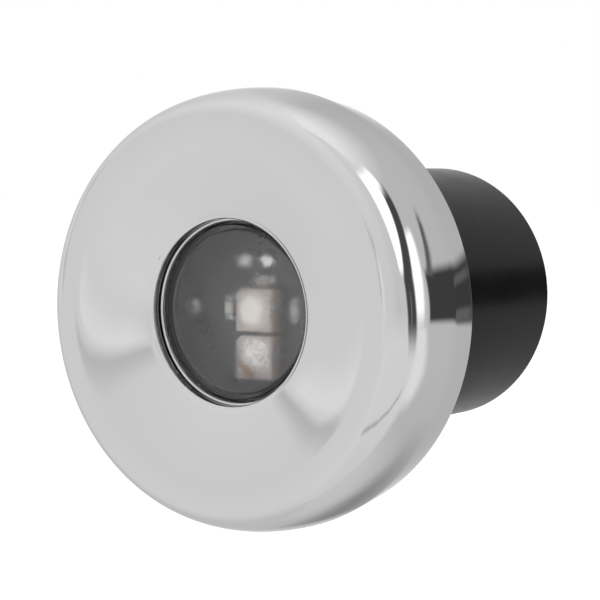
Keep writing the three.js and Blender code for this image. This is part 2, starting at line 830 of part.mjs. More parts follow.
// The cap that closes the barrel, with its seal groove, screw holes and the gland's stub
function makeRearCap() {
  const grooveHalf = capSealSection + seatGap / 2;
  const middle = (capFront + capBack) / 2;
  const stubEnd = capBack + stubLength;
  const profile = [
    [cableRadius + seatGap, capFront],
    [clearBore, capFront],
    [clearBore, middle - grooveHalf],
    [capGrooveRadius, middle - grooveHalf],
    [capGrooveRadius, middle + grooveHalf],
    [clearBore, middle + grooveHalf],
    [clearBore, capBack - capEdgeChamfer],
    [clearBore - capEdgeChamfer, capBack],
    [stubRadius, capBack],
    [stubRadius, stubEnd - capEdgeChamfer],
    [stubRadius - capEdgeChamfer, stubEnd],
    [stubBore, stubEnd],
    [stubBore, capFront + stubLipThickness],
    [cableRadius + seatGap, capFront + stubLipThickness],
  ];
  let body = solidOf(turned(profile, ringFacets));
  const headSeat = capBack - capScrewHeadHeight - seatGap;
  for (const angle of capScrewAngles()) {
    const [x, z] = onCircle(capScrewCircleRadius, angle);
    body = body.subtract(bar(capScrewHole, capFront - cutOverrun, capBack, x, z));
    body = body.subtract(bar(capScrewHeadRadius + seatGap, headSeat, capBack + cutOverrun, x, z));
  }
  return body;
}

function makeGrommet() {
  const stubEnd = capBack + stubLength;
  const flangeStart = stubEnd + seatGap;
  const flangeEnd = flangeStart + grommetFlangeThickness;
  const profile = [
    [cableRadius, capFront + stubLipThickness + seatGap],
    [grommetRadius, capFront + stubLipThickness + seatGap],
    [grommetRadius, flangeStart],
    [grommetFlangeRadius, flangeStart],
    [grommetFlangeRadius, flangeEnd],
    [cableRadius, flangeEnd],
  ];
  return turned(profile, ringFacets);
}

// The gland's hexagonal nut, coned towards its end wall
function makeNut() {
  const front = capBack + nutStandOff;
  const wallFront = capBack + stubLength + seatGap + grommetFlangeThickness + seatGap;
  const back = wallFront + nutEndWall;
  const coneFront = back - (back - front) * nutConeShare;
  const envelope = [
    [0, front],
    [nutRadius, front],
    [nutRadius, coneFront],
    [nutRadius - nutConeInset, back],
    [0, back],
  ];
  const bore = [
    [0, front - cutOverrun],
    [nutBore, front - cutOverrun],
    [nutBore, wallFront],
    [cableRadius + seatGap, wallFront],
    [cableRadius + seatGap, back + cutOverrun],
    [0, back + cutOverrun],
  ];
  const prism = solidOf(turned([[0, front], [nutRadius, front], [nutRadius, back], [0, back]], nutSides));
  return prism.intersect(solidOf(turned(envelope, ringFacets))).subtract(solidOf(turned(bore, ringFacets)));
}

// The shell and what closes it
addPiece(light, "cover", makeCover(), "polishedMetal");
addPiece(light, "housing", makeHousing(), "blackMoulding");
addPiece(light, "flange_gasket", makeGasket(), "greyFoam");
const gripRing = roundRing(gripRingRadius, gripSection, (flangeFront + flangeBack) / 2, bodyFacets);
addPiece(light, "cover_grip_ring", gripRing, "blackRubber");
addPiece(light, "lens_retaining_ring", makeLensRing(), "brightMetal");
addPiece(light, "lens", makeLens(), "clearGlass");
addPiece(light, "lens_seal", makeLensSeal(), "blackRubber");
addPiece(light, "rear_cap", makeRearCap(), "blackMoulding");
const capSealY = (capFront + capBack) / 2;
addPiece(light, "rear_cap_seal", roundRing(capSealRadius, capSealSection, capSealY, ringFacets), "blackRubber");
addPiece(light, "cable_grommet", makeGrommet(), "blackRubber");
addPiece(light, "gland_nut", makeNut(), "blackMoulding");
const capScrewSeat = capBack - capScrewHeadHeight;
for (const [index, angle] of capScrewAngles().entries()) {
  const [x, z] = onCircle(capScrewCircleRadius, angle);
  const shank = capScrewSeat - bossBack + capScrewBite;
  const screw = makeScrew(capScrewHeadRadius, capScrewHeadHeight, capScrewShankRadius, shank);
  const mesh = addPiece(light, `cap_screw_${index + 1}`, screw, "steelScrew", [x, capScrewSeat, z]);
  mesh.rotation.z = Math.PI;
}

// The light well, the LED board and its parts
addPiece(insides, "light_well", makeWell(), "darkWell");
addPiece(insides, "led_board", makeBoard(), "darkBoard");
const ledPlaces = { upper: 0, lower: -ledPitch };
for (const [name, z] of Object.entries(ledPlaces)) {
  const place = [0, boardFront - solderGap, z];
  addPiece(insides, `led_package_${name}`, makeLed(), "ledCeramic", place);
  addPiece(insides, `led_phosphor_${name}`, makePhosphor(), "phosphor", place);
}
const resistorPlaces = {
  left: [-resistorSideOffset, 0],
  right: [resistorSideOffset, 0],
  top: [0, resistorTopOffset],
};
for (const [name, [x, z]] of Object.entries(resistorPlaces)) {
  const place = [x, boardFront - solderGap, z];
  const mesh = addPiece(insides, `chip_resistor_${name}`, makeResistor(), "resistorBody", place);
  if (name !== "top") mesh.rotation.y = Math.PI / 2;
}
for (const [name, side] of [["left", -1], ["right", 1]]) {
  const reach = sinkFront - boardFront + seatGap + boardScrewBite;
  const screw = makeScrew(boardScrewHeadRadius, boardScrewHeadHeight, boardScrewShankRadius, reach);
  const place = [side * boardScrewOffset, boardFront - seatGap, 0];
  addPiece(insides, `board_screw_${name}`, screw, "steelScrew", place);
}
addPiece(insides, "thermal_pad", makePad(), "greyPad");
addPiece(insides, "heat_sink", makeHeatSink(), "aluminium");
addPiece(insides, "red_lead", makeLead(redLeadSide), "redInsulation");
addPiece(insides, "black_lead", makeLead(blackLeadSide), "blackInsulation");

// The driver board and its parts, in two rows from the front
const partSeat = driverTop + solderGap;
addPiece(driver, "driver_board", makeDriverBoard(), "greenBoard");
const canPlace = [-outerPartSide, driverFront + driverRowGap, partSeat + capacitorRadius];
addPiece(driver, "smoothing_capacitor", makeCapacitor(), "capacitorSleeve", canPlace);
const drumPlace = [outerPartSide, driverFront + driverRowGap + inductorRadius, partSeat];
addPiece(driver, "inductor", makeInductor(), "ferrite", drumPlace);
const varistorPlace = [middlePartSide, leadRow + varistorRadius, partSeat + varistorRadius];
addPiece(driver, "varistor", makeVaristor(), "varistorBlue", varistorPlace);
const rectifierPlace = [outerPartSide, driverBack - driverRowGap - rectifierLength, partSeat];
addPiece(driver, "bridge_rectifier", makeRectifier(), "blackComponent", rectifierPlace);
const chipPlace = [middlePartSide, chipFront, partSeat];
addPiece(driver, "driver_chip", makeChip(), "blackComponent", chipPlace);
const terminalPlace = [-outerPartSide, driverBack - terminalLength, partSeat];
addPiece(driver, "terminal_block", makeTerminal(), "terminalGreen", terminalPlace);

export default light;
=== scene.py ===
"""A round recessed stair light in a plain studio.

Sizes are in millimetres in the light's own frame: its axis is Y, its face looks along -Y, +Z is up, and
y = 0 is the surface of the panel that it is set in. Every mesh is made in metres.
"""

import logging
import math
from collections.abc import Callable, Iterator, Sequence
from contextlib import contextmanager
from dataclasses import dataclass
from enum import Enum
from functools import cache

import bpy
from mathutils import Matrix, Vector, noise

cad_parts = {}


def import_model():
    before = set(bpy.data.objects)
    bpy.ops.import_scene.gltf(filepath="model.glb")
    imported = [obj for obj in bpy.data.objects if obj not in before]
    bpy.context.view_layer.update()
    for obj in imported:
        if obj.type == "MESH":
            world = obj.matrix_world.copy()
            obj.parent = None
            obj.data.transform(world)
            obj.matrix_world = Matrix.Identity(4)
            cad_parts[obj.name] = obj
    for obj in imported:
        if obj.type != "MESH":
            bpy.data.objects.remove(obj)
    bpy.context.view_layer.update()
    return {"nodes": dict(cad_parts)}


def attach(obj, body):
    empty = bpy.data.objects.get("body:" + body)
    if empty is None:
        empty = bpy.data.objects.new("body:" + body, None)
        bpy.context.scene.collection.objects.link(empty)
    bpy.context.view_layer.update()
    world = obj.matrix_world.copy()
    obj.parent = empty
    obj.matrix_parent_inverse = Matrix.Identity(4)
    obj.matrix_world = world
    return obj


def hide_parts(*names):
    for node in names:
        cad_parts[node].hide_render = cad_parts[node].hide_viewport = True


MM = 0.001
FULL_TURN = 2 * math.pi
QUARTER_TURN = math.pi / 2
# Vertices nearer than this, in metres, are merged
MERGE = 1e-6
# How far a cutter runs past what it cuts, in millimetres
OVERRUN = 1.0
# Where most values of the mottle mask lie
MOTTLE_RANGE = (0.3, 0.7)
# The sharpest edges, in degrees, that are shaded smooth on a crisp and on a soft piece
CRISP = 40
SOFT = 60
# The bluntest edge, in degrees, that is bevelled on a piece with round sides
ROUND_SIDES = 50
# Sides of a cut hole, and steps round a small turned piece and a screw
HOLE_SIDES = 40
SMALL_STEPS = 96
SCREW_STEPS = 48
WHITE = (1.0, 1.0, 1.0, 1.0)

Point = tuple[float, float]
Corner = tuple[float, float, float]
Profile = tuple[Corner, ...]
Colour = tuple[float, float, float, float]
Piece = bpy.types.Object
Socket = bpy.types.NodeSocket
Tree = bpy.types.NodeTree
Material = bpy.types.Material
log = logging.getLogger("stair_light")


class Body(Enum):
    """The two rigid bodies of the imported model."""

    LIGHT = "light_body"
    COVER = "cover_shell"


class Meeting(Enum):
    """What becomes of an object where another meets it."""

    CUT = "DIFFERENCE"
    UNITE = "UNION"
    KEEP = "INTERSECT"


# Tools for selecting and shaping meshes


def deselect_all() -> None:
    """Deselects every object, so that an operator acts only on what is selected after it."""
    bpy.ops.object.select_all(action="DESELECT")


def select_only(obj: Piece) -> None:
    """Makes one object the only selected one, and active.

    Args:
        obj: The object.
    """
    deselect_all()
    obj.select_set(True)
    bpy.context.view_layer.objects.active = obj


@contextmanager
def editing(obj: Piece) -> Iterator[None]:
    """Opens an object in edit mode with all of it selected, and closes it again.

    Args:
        obj: The object.

    Yields:
        Nothing, while the object is open.
    """
    select_only(obj)
    bpy.ops.object.mode_set(mode="EDIT")
    bpy.ops.mesh.select_all(action="SELECT")
    yield
    bpy.ops.object.mode_set(mode="OBJECT")


def select_vertices(obj: Piece, test: Callable[[Vector], bool]) -> None:
    """Selects vertices of an object in edit mode.

    Args:
        obj: The object in edit mode.
        test: Takes a vertex's place in millimetres, and says whether it is selected.
    """
    bpy.ops.mesh.select_mode(type="VERT")
    bpy.ops.mesh.select_all(action="DESELECT")
    bpy.ops.object.mode_set(mode="OBJECT")
    for vertex in obj.data.vertices:
        vertex.select = test(vertex.co / MM)
    bpy.ops.object.mode_set(mode="EDIT")


def rounded(corners: Sequence[Corner], steps: int = 5) -> list[Point]:
    """Rounds the corners of a section.

    Args:
        corners: Radius from the axis, y and rounding radius of each corner.
        steps: Straight steps in each rounding.

    Returns:
        The section's points, with an arc for each corner that has a rounding radius.
    """
    points: list[Point] = []
    for index, (radius, y, fillet) in enumerate(corners):
        here = Vector((radius, y))
        before = (Vector(corners[index - 1][:2]) - here).normalized()
        after = (Vector(corners[(index + 1) % len(corners)][:2]) - here).normalized()
        if fillet <= 0:
            points.append((radius, y))
            continue
        half = math.acos(max(-1.0, min(1.0, before.dot(after)))) / 2
        centre = here + (before + after).normalized() * (fillet / math.sin(half))
        arm = here + before * (fillet / math.tan(half)) - centre
        end = here + after * (fillet / math.tan(half)) - centre
        turn = -arm.angle_signed(end)
        for step in range(steps + 1):
            angle = turn * step / steps
            across = arm.x * math.cos(angle) - arm.y * math.sin(angle)
            along = arm.x * math.sin(angle) + arm.y * math.cos(angle)
            points.append((centre.x + across, centre.y + along))
    return points


def round_section(circle: float, y: float, radius: float, steps: int, line: float = 0.0) -> list[Point]:
    """The section of a ring of round bar.

    Args:
        circle: The radius of the ring's middle.
        y: The ring's place along the axis.
        radius: The bar's radius.
        steps: Points round the bar.
        line: How far a moulding line stands out on the ring's outer and inner side.

    Returns:
        The section's points.
    """
    points = []
    for step in range(steps):
        angle = FULL_TURN * step / steps
        reach = radius + (line if step % (steps // 2) == 0 else 0.0)
        points.append((circle + reach * math.cos(angle), y + reach * math.sin(angle)))
    return points


def wire(name: str, points: Sequence[Corner]) -> Piece:
    """A chain of edges through points: a small plane merged to one vertex, which is then extruded.

    Args:
        name: The object's name.
        points: The chain's points as x, y and z.

    Returns:
        The new object.
    """
    deselect_all()
    bpy.ops.mesh.primitive_plane_add(size=MM)
    obj = bpy.context.object
    obj.name = obj.data.name = name
    with editing(obj):
        bpy.ops.mesh.merge(type="CENTER")
        bpy.ops.transform.translate(value=[value * MM for value in points[0]])
        for before, after in zip(points, points[1:]):
            move = [(b - a) * MM for a, b in zip(before, after)]
            bpy.ops.mesh.extrude_vertices_move(TRANSFORM_OT_translate={"value": move})
    return obj


def revolved(obj: Piece, angle: float, steps: int, end_sides: int = 0) -> Piece:
    """Spins a chain of edges about the light's axis into a body.

    Args:
        obj: The chain.
        angle: The turn in radians.
        steps: Steps in the turn.
        end_sides: The sides of each end, where the turn isn't a full one and the ends are filled.

    Returns:
        The object, with its doubles merged and its faces outwards.
    """
    with editing(obj):
        bpy.ops.mesh.spin(steps=steps, angle=angle, center=(0, 0, 0), axis=(0, 1, 0))
        bpy.ops.mesh.select_all(action="SELECT")
        bpy.ops.mesh.remove_doubles(threshold=MERGE)
        if end_sides:
            bpy.ops.mesh.fill_holes(sides=end_sides)
        bpy.ops.mesh.normals_make_consistent(inside=False)
    return obj


def turned(name: str, section: Sequence[Point], steps: int = 128, closed: bool = True) -> Piece:
    """Spins a section about the light's axis into one closed body.

    Args:
        name: The piece's name.
        section: Radius from the axis and y of each point.
        steps: Steps round the full turn.
        closed: Whether the section's last point joins its first. One that ends on the axis is left open.

    Returns:
        The new object.
    """
    points = [*section, section[0]] if closed else section
    return revolved(wire(name, [(radius, y, 0.0) for radius, y in points]), FULL_TURN, steps)


def seated(obj: Piece) -> Piece:
    """Applies an object's place, turn and size to its mesh, so that the object stands at the origin.

    Args:
        obj: The object.

    Returns:
        The same object.
    """
    select_only(obj)
    bpy.ops.object.transform_apply(location=True, rotation=True, scale=True)
    return obj


def moved(obj: Piece, x: float = 0.0, y: float = 0.0, z: float = 0.0) -> Piece:
    """Moves an object's mesh."""
    obj.location = Vector((x, y, z)) * MM
    return seated(obj)


def spun(obj: Piece, degrees: float) -> Piece:
    """Turns an object's mesh about the light's axis, from +X towards +Z."""
    obj.rotation_euler = (0, -math.radians(degrees), 0)
    return seated(obj)


def copied(obj: Piece, name: str) -> Piece:
    """A copy of an object, with its own mesh.

    Args:
        obj: The object to copy.
        name: The copy's name.

    Returns:
        The copy.
    """
    twin = obj.copy()
    twin.data = obj.data.copy()
    twin.name = twin.data.name = name
    bpy.context.collection.objects.link(twin)
    return twin


def block(name: str, low: Corner, high: Corner) -> Piece:
    """A box, to be shaped further.

    Args:
        name: The object's name.
        low: The box's lower corner.
        high: Its upper corner.

    Returns:
        The new object.
    """
    deselect_all()
    centre = [(a + b) / 2 * MM for a, b in zip(low, high)]
    size = [(b - a) * MM for a, b in zip(low, high)]
    bpy.ops.mesh.primitive_cube_add(size=1, location=centre, scale=size)
    obj = bpy.context.object
    obj.name = obj.data.name = name
    return seated(obj)


def rod(
    name: str, radius: float, front: float, back: float, x: float = 0.0, z: float = 0.0, sides: int = 32
) -> Piece:
    """A round bar along the light's axis, to cut with or to be shaped further.

    Args:
        name: The object's name.
        radius: The bar's radius.
        front: Where it starts along the axis.
        back: Where it ends.
        x: Its middle's x.
        z: Its middle's z.
        sides: Its sides.

    Returns:
        The new object.
    """
    deselect_all()
    bpy.ops.mesh.primitive_cylinder_add(
        vertices=sides,
        radius=radius * MM,
        depth=(back - front) * MM,
        location=(x * MM, (front + back) / 2 * MM, z * MM),
        rotation=(QUARTER_TURN, 0, 0),
    )
    obj = bpy.context.object
    obj.name = obj.data.name = name
    return seated(obj)


def modified(obj: Piece, kind: str, **settings: object) -> Piece:
    """Adds a modifier to an object and applies it at once.

    Args:
        obj: The object.
        kind: The modifier's type.
        settings: The modifier's own properties.

    Returns:
        The same object.
    """
    select_only(obj)
    modifier = obj.modifiers.new(kind.lower(), kind)
    for key, value in settings.items():
        setattr(modifier, key, value)
    bpy.ops.object.modifier_apply(modifier=modifier.name)
    return obj


def bevelled(obj: Piece, width: float, segments: int = 3, angle: float = 35) -> Piece:
    """Rounds every edge sharper than an angle.

    Args:
        obj: The object.
        width: The rounding's width.
        segments: Its segments.
        angle: The angle in degrees.

    Returns:
        The same object.
    """
    limit = math.radians(angle)
    settings = {"width": width * MM, "segments": segments, "limit_method": "ANGLE", "angle_limit": limit}
    return modified(obj, "BEVEL", **settings)


def met(obj: Piece, others: Sequence[Piece], meeting: Meeting) -> Piece:
    """Cuts an object by others, unites it with them or keeps what it shares with them.

    Args:
        obj: The object.
        others: The other objects, which are removed.
        meeting: What becomes of the object.

    Returns:
        The same object.
    """
    for other in others:
        modified(obj, "BOOLEAN", object=other, operation=meeting.value, solver="EXACT")
        bpy.data.objects.remove(other)
    return obj


def cut(obj: Piece, *others: Piece) -> Piece:
    """Cuts other objects from an object, and removes them."""
    return met(obj, others, Meeting.CUT)


def united(obj: Piece, *others: Piece) -> Piece:
    """Makes one body of an object and others."""
    return met(obj, others, Meeting.UNITE)


def gathered(obj: Piece, *others: Piece) -> Piece:
    """Joins other objects to an object as parts of one piece, each with its own finish.

    Args:
        obj: The object.
        others: What joins it.

    Returns:
        The same object.
    """
    deselect_all()
    for part in (obj, *others):
        part.select_set(True)
    bpy.context.view_layer.objects.active = obj
    bpy.ops.object.join()
    return obj


def smoothed(obj: Piece, angle: float = 32, weighted: bool = True) -> Piece:
    """Shades an object smooth across its blunt edges.

    Args:
        obj: The object.
        angle: The sharpest edge, in degrees, that is shaded smooth.
        weighted: Whether large faces are kept flat.

    Returns:
        The same object.
    """
    select_only(obj)
    bpy.ops.object.shade_smooth_by_angle(angle=math.radians(angle))
    if weighted:
        modified(obj, "WEIGHTED_NORMAL", keep_sharp=True, weight=60)
    return obj


def on_circle(radius: float, degrees: float) -> Point:
    """The x and z of a point on a circle about the axis, from +X towards +Z."""
    angle = math.radians(degrees)
    return radius * math.cos(angle), radius * math.sin(angle)


def arc_slot(
    middle: float, radius: float, width: float, arc: float, front: float, back: float
) -> list[Piece]:
    """Cutters for a slot with round ends that follows a circle about the axis.

    Args:
        middle: The slot's middle, in degrees from +X towards +Z.
        radius: The circle's radius.
        width: The slot's width.
        arc: The angle between the centres of its round ends.
        front: Where the cut starts along the axis.
        back: Where it ends.

    Returns:
        A bar that follows the circle, and a rod for each end.
    """
    half = width / 2
    ends = (middle - arc / 2, middle + arc / 2)
    section = [(radius - half, front), (radius + half, front), (radius + half, back), (radius - half, back)]
    chain = []
    for reach, y in [*section, section[0]]:
        x, z = on_circle(reach, ends[0])
        chain.append((x, y, z))
    cutters = [revolved(wire("slot_cutter", chain), -math.radians(arc), 16, len(section))]
    for end in ends:
        x, z = on_circle(radius, end)
        cutters.append(rod("slot_end_cutter", half, front, back, x, z, HOLE_SIDES))
    return cutters


def swept_tube(name: str, path: Sequence[Corner], radius: float) -> Piece:
    """A round insulated wire along a smooth path, as a mesh.

    Args:
        name: The wire's name.
        path: The points that it goes through, as x, y and z.
        radius: The wire's radius.

    Returns:
        The new object.
    """
    curve = bpy.data.curves.new(name, "CURVE")
    curve.dimensions = "3D"
    curve.resolution_u = 8
    curve.bevel_depth = radius * MM
    curve.bevel_resolution = 5
    curve.use_fill_caps = True
    spline = curve.splines.new("BEZIER")
    spline.bezier_points.add(len(path) - 1)
    for point, place in zip(spline.bezier_points, path):
        point.co = Vector(place) * MM
        point.handle_left_type = point.handle_right_type = "AUTO"
    obj = bpy.data.objects.new(name, curve)
    bpy.context.collection.objects.link(obj)
    select_only(obj)
    bpy.ops.object.convert(target="MESH")
    bpy.ops.object.shade_smooth()
    return bpy.context.object


# Tools for node trees


class Graph:
    """A node tree under construction."""

    def __init__(self, tree: Tree) -> None:
        """Takes the tree to add nodes to."""
        self.tree = tree

    def join(self, socket: Socket, value: object) -> None:
        """Links an input to a node's output, or sets it to a plain value.

        Args:
            socket: The input.
            value: A number, a colour or another node's output socket.
        """
        if isinstance(value, Socket):
            self.tree.links.new(value, socket)
        else:
            socket.default_value = value

    def add(self, kind: str, values: dict | None = None, **settings: object) -> bpy.types.Node:
        """Adds a node.

        Args:
            kind: The node's type.
            values: What each input gets: a number, a colour or another node's output socket.
            settings: The node's own properties.

        Returns:
            The new node.
        """
        node = self.tree.nodes.new(kind)
        for key, value in settings.items():
            setattr(node, key, value)
        for key, value in (values or {}).items():
            self.join(node.inputs[key], value)
        return node

    def math(self, operation: str, *values: object) -> Socket:
        """A Math node's result."""
        return self.add("ShaderNodeMath", dict(enumerate(values)), operation=operation).outputs[0]

    def noise(self, vector: Socket, scale: object, detail: float = 2.0, bend: float = 0.0) -> Socket:
        """A Noise Texture's mask."""
        inputs = {"Vector": vector, "Scale": scale, "Detail": detail, "Distortion": bend}
        return self.add("ShaderNodeTexNoise", inputs).outputs["Fac"]

    def ramp(self, factor: Socket, stops: Sequence[tuple], smooth: bool = False) -> Socket:
        """A colour ramp's result.

        Args:
            factor: What runs along the ramp.
            stops: A place and a grey level or colour for each stop.
            smooth: Whether the ramp eases from stop to stop.

        Returns:
            The ramp's colour.
        """
        node = self.add("ShaderNodeValToRGB", {"Fac": factor})
        ramp = node.color_ramp
        ramp.interpolation = "EASE" if smooth else "LINEAR"
        while len(ramp.elements) < len(stops):
            ramp.elements.new(1.0)
        for element, (place, value) in zip(ramp.elements, sorted(stops, key=lambda stop: stop[0])):
            element.position = place
            element.color = value if isinstance(value, tuple) else (value, value, value, 1.0)
        return node.outputs["Color"]

    def spread(self, value: Socket, low: object, high: object, to_low: float, to_high: float) -> Socket:
        """A value brought from one range to another, held at the ends."""
        inputs = {"Value": value, "From Min": low, "From Max": high, "To Min": to_low, "To Max": to_high}
        return self.add("ShaderNodeMapRange", inputs).outputs["Result"]

    def mix(self, factor: object, first: object, second: object) -> Socket:
        """Two colours mixed. The numbers are the Mix node's inputs and output for colours."""
        return self.add("ShaderNodeMix", {0: factor, 6: first, 7: second}, data_type="RGBA").outputs[2]


class MaterialGraph(Graph):
    """A finish's node tree, with its one Principled shader and the piece's own coordinates."""

    def __init__(self, tree: Tree, colour: Colour, roughness: float) -> None:
        """Makes the shader and the material's output.

        Args:
            tree: The tree to add nodes to.
            colour: The base colour.
            roughness: The roughness.
        """
        super().__init__(tree)
        self.shader = self.add("ShaderNodeBsdfPrincipled", {"Base Color": colour, "Roughness": roughness})
        output = self.add("ShaderNodeOutputMaterial", {"Surface": self.shader.outputs["BSDF"]})
        output.is_active_output = True
        self.place = self.add("ShaderNodeTexCoord").outputs["Object"]

    def feed(self, **inputs: object) -> None:
        """Sets or links the shader's inputs, whose names have _ in place of each space."""
        for name, value in inputs.items():
            self.join(self.shader.inputs[name.replace("_", " ")], value)

    def effect(self, group: Tree, values: dict[str, float] | None = None) -> bpy.types.Node:
        """Places a shared effect with its own values."""
        return self.add("ShaderNodeGroup", {"Vector": self.place, **(values or {})}, node_tree=group)

    def bump(self, height: Socket, depth: float) -> None:
        """Feeds a height to the shader's normal, at a depth in millimetres."""
        bump = self.add("ShaderNodeBump", {"Height": height, "Strength": 1.0, "Distance": depth * MM})
        self.feed(Normal=bump.outputs["Normal"])


def cleared(owner: Material | bpy.types.World) -> Tree:
    """Turns on the nodes of a material or a world, and removes those that it starts with.

    Args:
        owner: The material or the world.

    Returns:
        Its empty tree.
    """
    owner.use_nodes = True
    owner.node_tree.nodes.clear()
    return owner.node_tree


def new_group(name: str, inputs: dict[str, float], outputs: Sequence[str]) -> tuple:
    """Starts a shader node group that reads a vector and some numbers, and puts out masks or heights.

    Args:
        name: The group's name.
        inputs: Each number's name and default value.
        outputs: Each output's name.

    Returns:
        The group's graph, its input node and its output node.
    """
    tree = bpy.data.node_groups.new(name, "ShaderNodeTree")
    tree.interface.new_socket("Vector", in_out="INPUT", socket_type="NodeSocketVector")
    for label, value in inputs.items():
        socket = tree.interface.new_socket(label, in_out="INPUT", socket_type="NodeSocketFloat")
        socket.default_value = value
    for label in outputs:
        tree.interface.new_socket(label, in_out="OUTPUT", socket_type="NodeSocketFloat")
    graph = Graph(tree)
    return graph, graph.add("NodeGroupInput"), graph.add("NodeGroupOutput")


def paint(red: int, green: int, blue: int) -> Colour:
    """A screen colour as linear light.

    Args:
        red: From 0 to 255.
        green: From 0 to 255.
        blue: From 0 to 255.

    Returns:
        The colour.
    """
    channels = []
    for value in (red, green, blue):
        share = value / 255
        channels.append(share / 12.92 if share <= 0.04045 else ((share + 0.055) / 1.055) ** 2.4)
    return (channels[0], channels[1], channels[2], 1.0)


def shade(colour: Colour, factor: float) -> Colour:
    """A colour made darker or lighter."""
    return tuple(min(1.0, channel * factor) for channel in colour[:3]) + (1.0,)


# Effects that several finishes share


class Effects:
    """Node groups that finishes place with their own values. Each is built once."""

    @staticmethod
    @cache
    def grain() -> Tree:
        """Fine surface grain with soft mottling.

        Returns:
            The group, with a height and a mask that wanders about the middle.
        """
        inputs = {"Scale": 2000.0, "Mottle Scale": 150.0}
        graph, start, end = new_group("Surface grain", inputs, ("Height", "Mottle"))
        vector = start.outputs["Vector"]
        graph.join(end.inputs["Height"], graph.noise(vector, start.outputs["Scale"], detail=3.0))
        graph.join(end.inputs["Mottle"], graph.noise(vector, start.outputs["Mottle Scale"], detail=5.0))
        return graph.tree

    @staticmethod
    @cache
    def dust() -> Tree:
        """Scattered specks.

        Returns:
            The group, with a mask that is one on a speck.
        """
        values = {"Scale": 900.0, "Size": 0.12, "Patch Scale": 260.0, "Patch Start": 0.45, "Patch End": 0.7}
        graph, start, end = new_group("Dust specks", values, ("Mask",))
        vector = start.outputs["Vector"]
        inputs = {"Vector": vector, "Scale": start.outputs["Scale"], "Randomness": 1.0}
        cells = graph.add("ShaderNodeTexVoronoi", inputs)
        patches = graph.noise(vector, start.outputs["Patch Scale"])
        patches = graph.spread(patches, start.outputs["Patch Start"], start.outputs["Patch End"], 0, 1)
        reach = graph.math("MULTIPLY", start.outputs["Size"], patches)
        graph.join(end.inputs["Mask"], graph.math("LESS_THAN", cells.outputs["Distance"], reach))
        return graph.tree

    @staticmethod
    @cache
    def turning_marks() -> Tree:
        """Fine rings about the light's axis, as polishing or turning leaves them.

        Returns:
            The group, with a height.
        """
        graph, start, end = new_group("Turning marks", {"Rings": 3000.0}, ("Height",))
        parts = graph.add("ShaderNodeSeparateXYZ", {"Vector": start.outputs["Vector"]})
        across = graph.math("POWER", parts.outputs["X"], 2.0)
        up = graph.math("POWER", parts.outputs["Z"], 2.0)
        radius = graph.math("SQRT", graph.math("ADD", across, up))
        place = graph.add("ShaderNodeCombineXYZ", {"X": radius, "Y": parts.outputs["Y"]})
        rings = graph.noise(place.outputs["Vector"], start.outputs["Rings"])
        graph.join(end.inputs["Height"], rings)
        return graph.tree


# Finishes


@dataclass(frozen=True)
class Finish:
    """What every finish has: a name, a base colour, a roughness and how it is built."""

    name: str
    colour: Colour
    roughness: float

    def material(self) -> Material:
        """The finish's material, built the first time that it is asked for.

        Returns:
            The material.
        """
        title = f"finish_{self.name}"
        material = bpy.data.materials.get(title)
        if material is None:
            material = bpy.data.materials.new(title)
            material.diffuse_color = self.colour
            self.wire(MaterialGraph(cleared(material), self.colour, self.roughness))
        return material

    def wire(self, graph: MaterialGraph) -> None:
        """Adds the finish's own nodes."""
        raise NotImplementedError


@dataclass(frozen=True)
class Metal(Finish):
    """Plain machined, cast or plated metal with turning marks and a mottled sheen."""

    rings: float = 1800.0
    depth: float = 0.002
    haze: float = 0.08
    mottle_scale: float = 400.0
    mottle: Point = (0.88, 1.08)
    edge_tint: Colour = WHITE

    def wire(self, graph: MaterialGraph) -> None:
        """Adds turning marks to the height, and mottles the roughness and colour.

        Args:
            graph: The material's graph.
        """
        graph.feed(Metallic=1.0, Specular_Tint=self.edge_tint)
        mottle = graph.effect(Effects.grain(), {"Mottle Scale": self.mottle_scale}).outputs["Mottle"]
        low, high = self.roughness - self.haze, self.roughness + self.haze
        tint = graph.mix(mottle, *(shade(self.colour, factor) for factor in self.mottle))
        graph.feed(Roughness=graph.spread(mottle, *MOTTLE_RANGE, low, high), Base_Color=tint)
        marks = graph.effect(Effects.turning_marks(), {"Rings": self.rings})
        graph.bump(marks.outputs["Height"], self.depth)


@dataclass(frozen=True)
class Polished(Metal):
    """Mirror-polished metal with the faint rings and waves that polishing leaves."""

    rings: float = 2600.0
    depth: float = 0.00002
    haze: float = 0.008
    mottle_scale: float = 90.0
    mottle: Point = (0.985, 1.015)
    edge_tint: Colour = (0.77, 0.77, 0.77, 1.0)


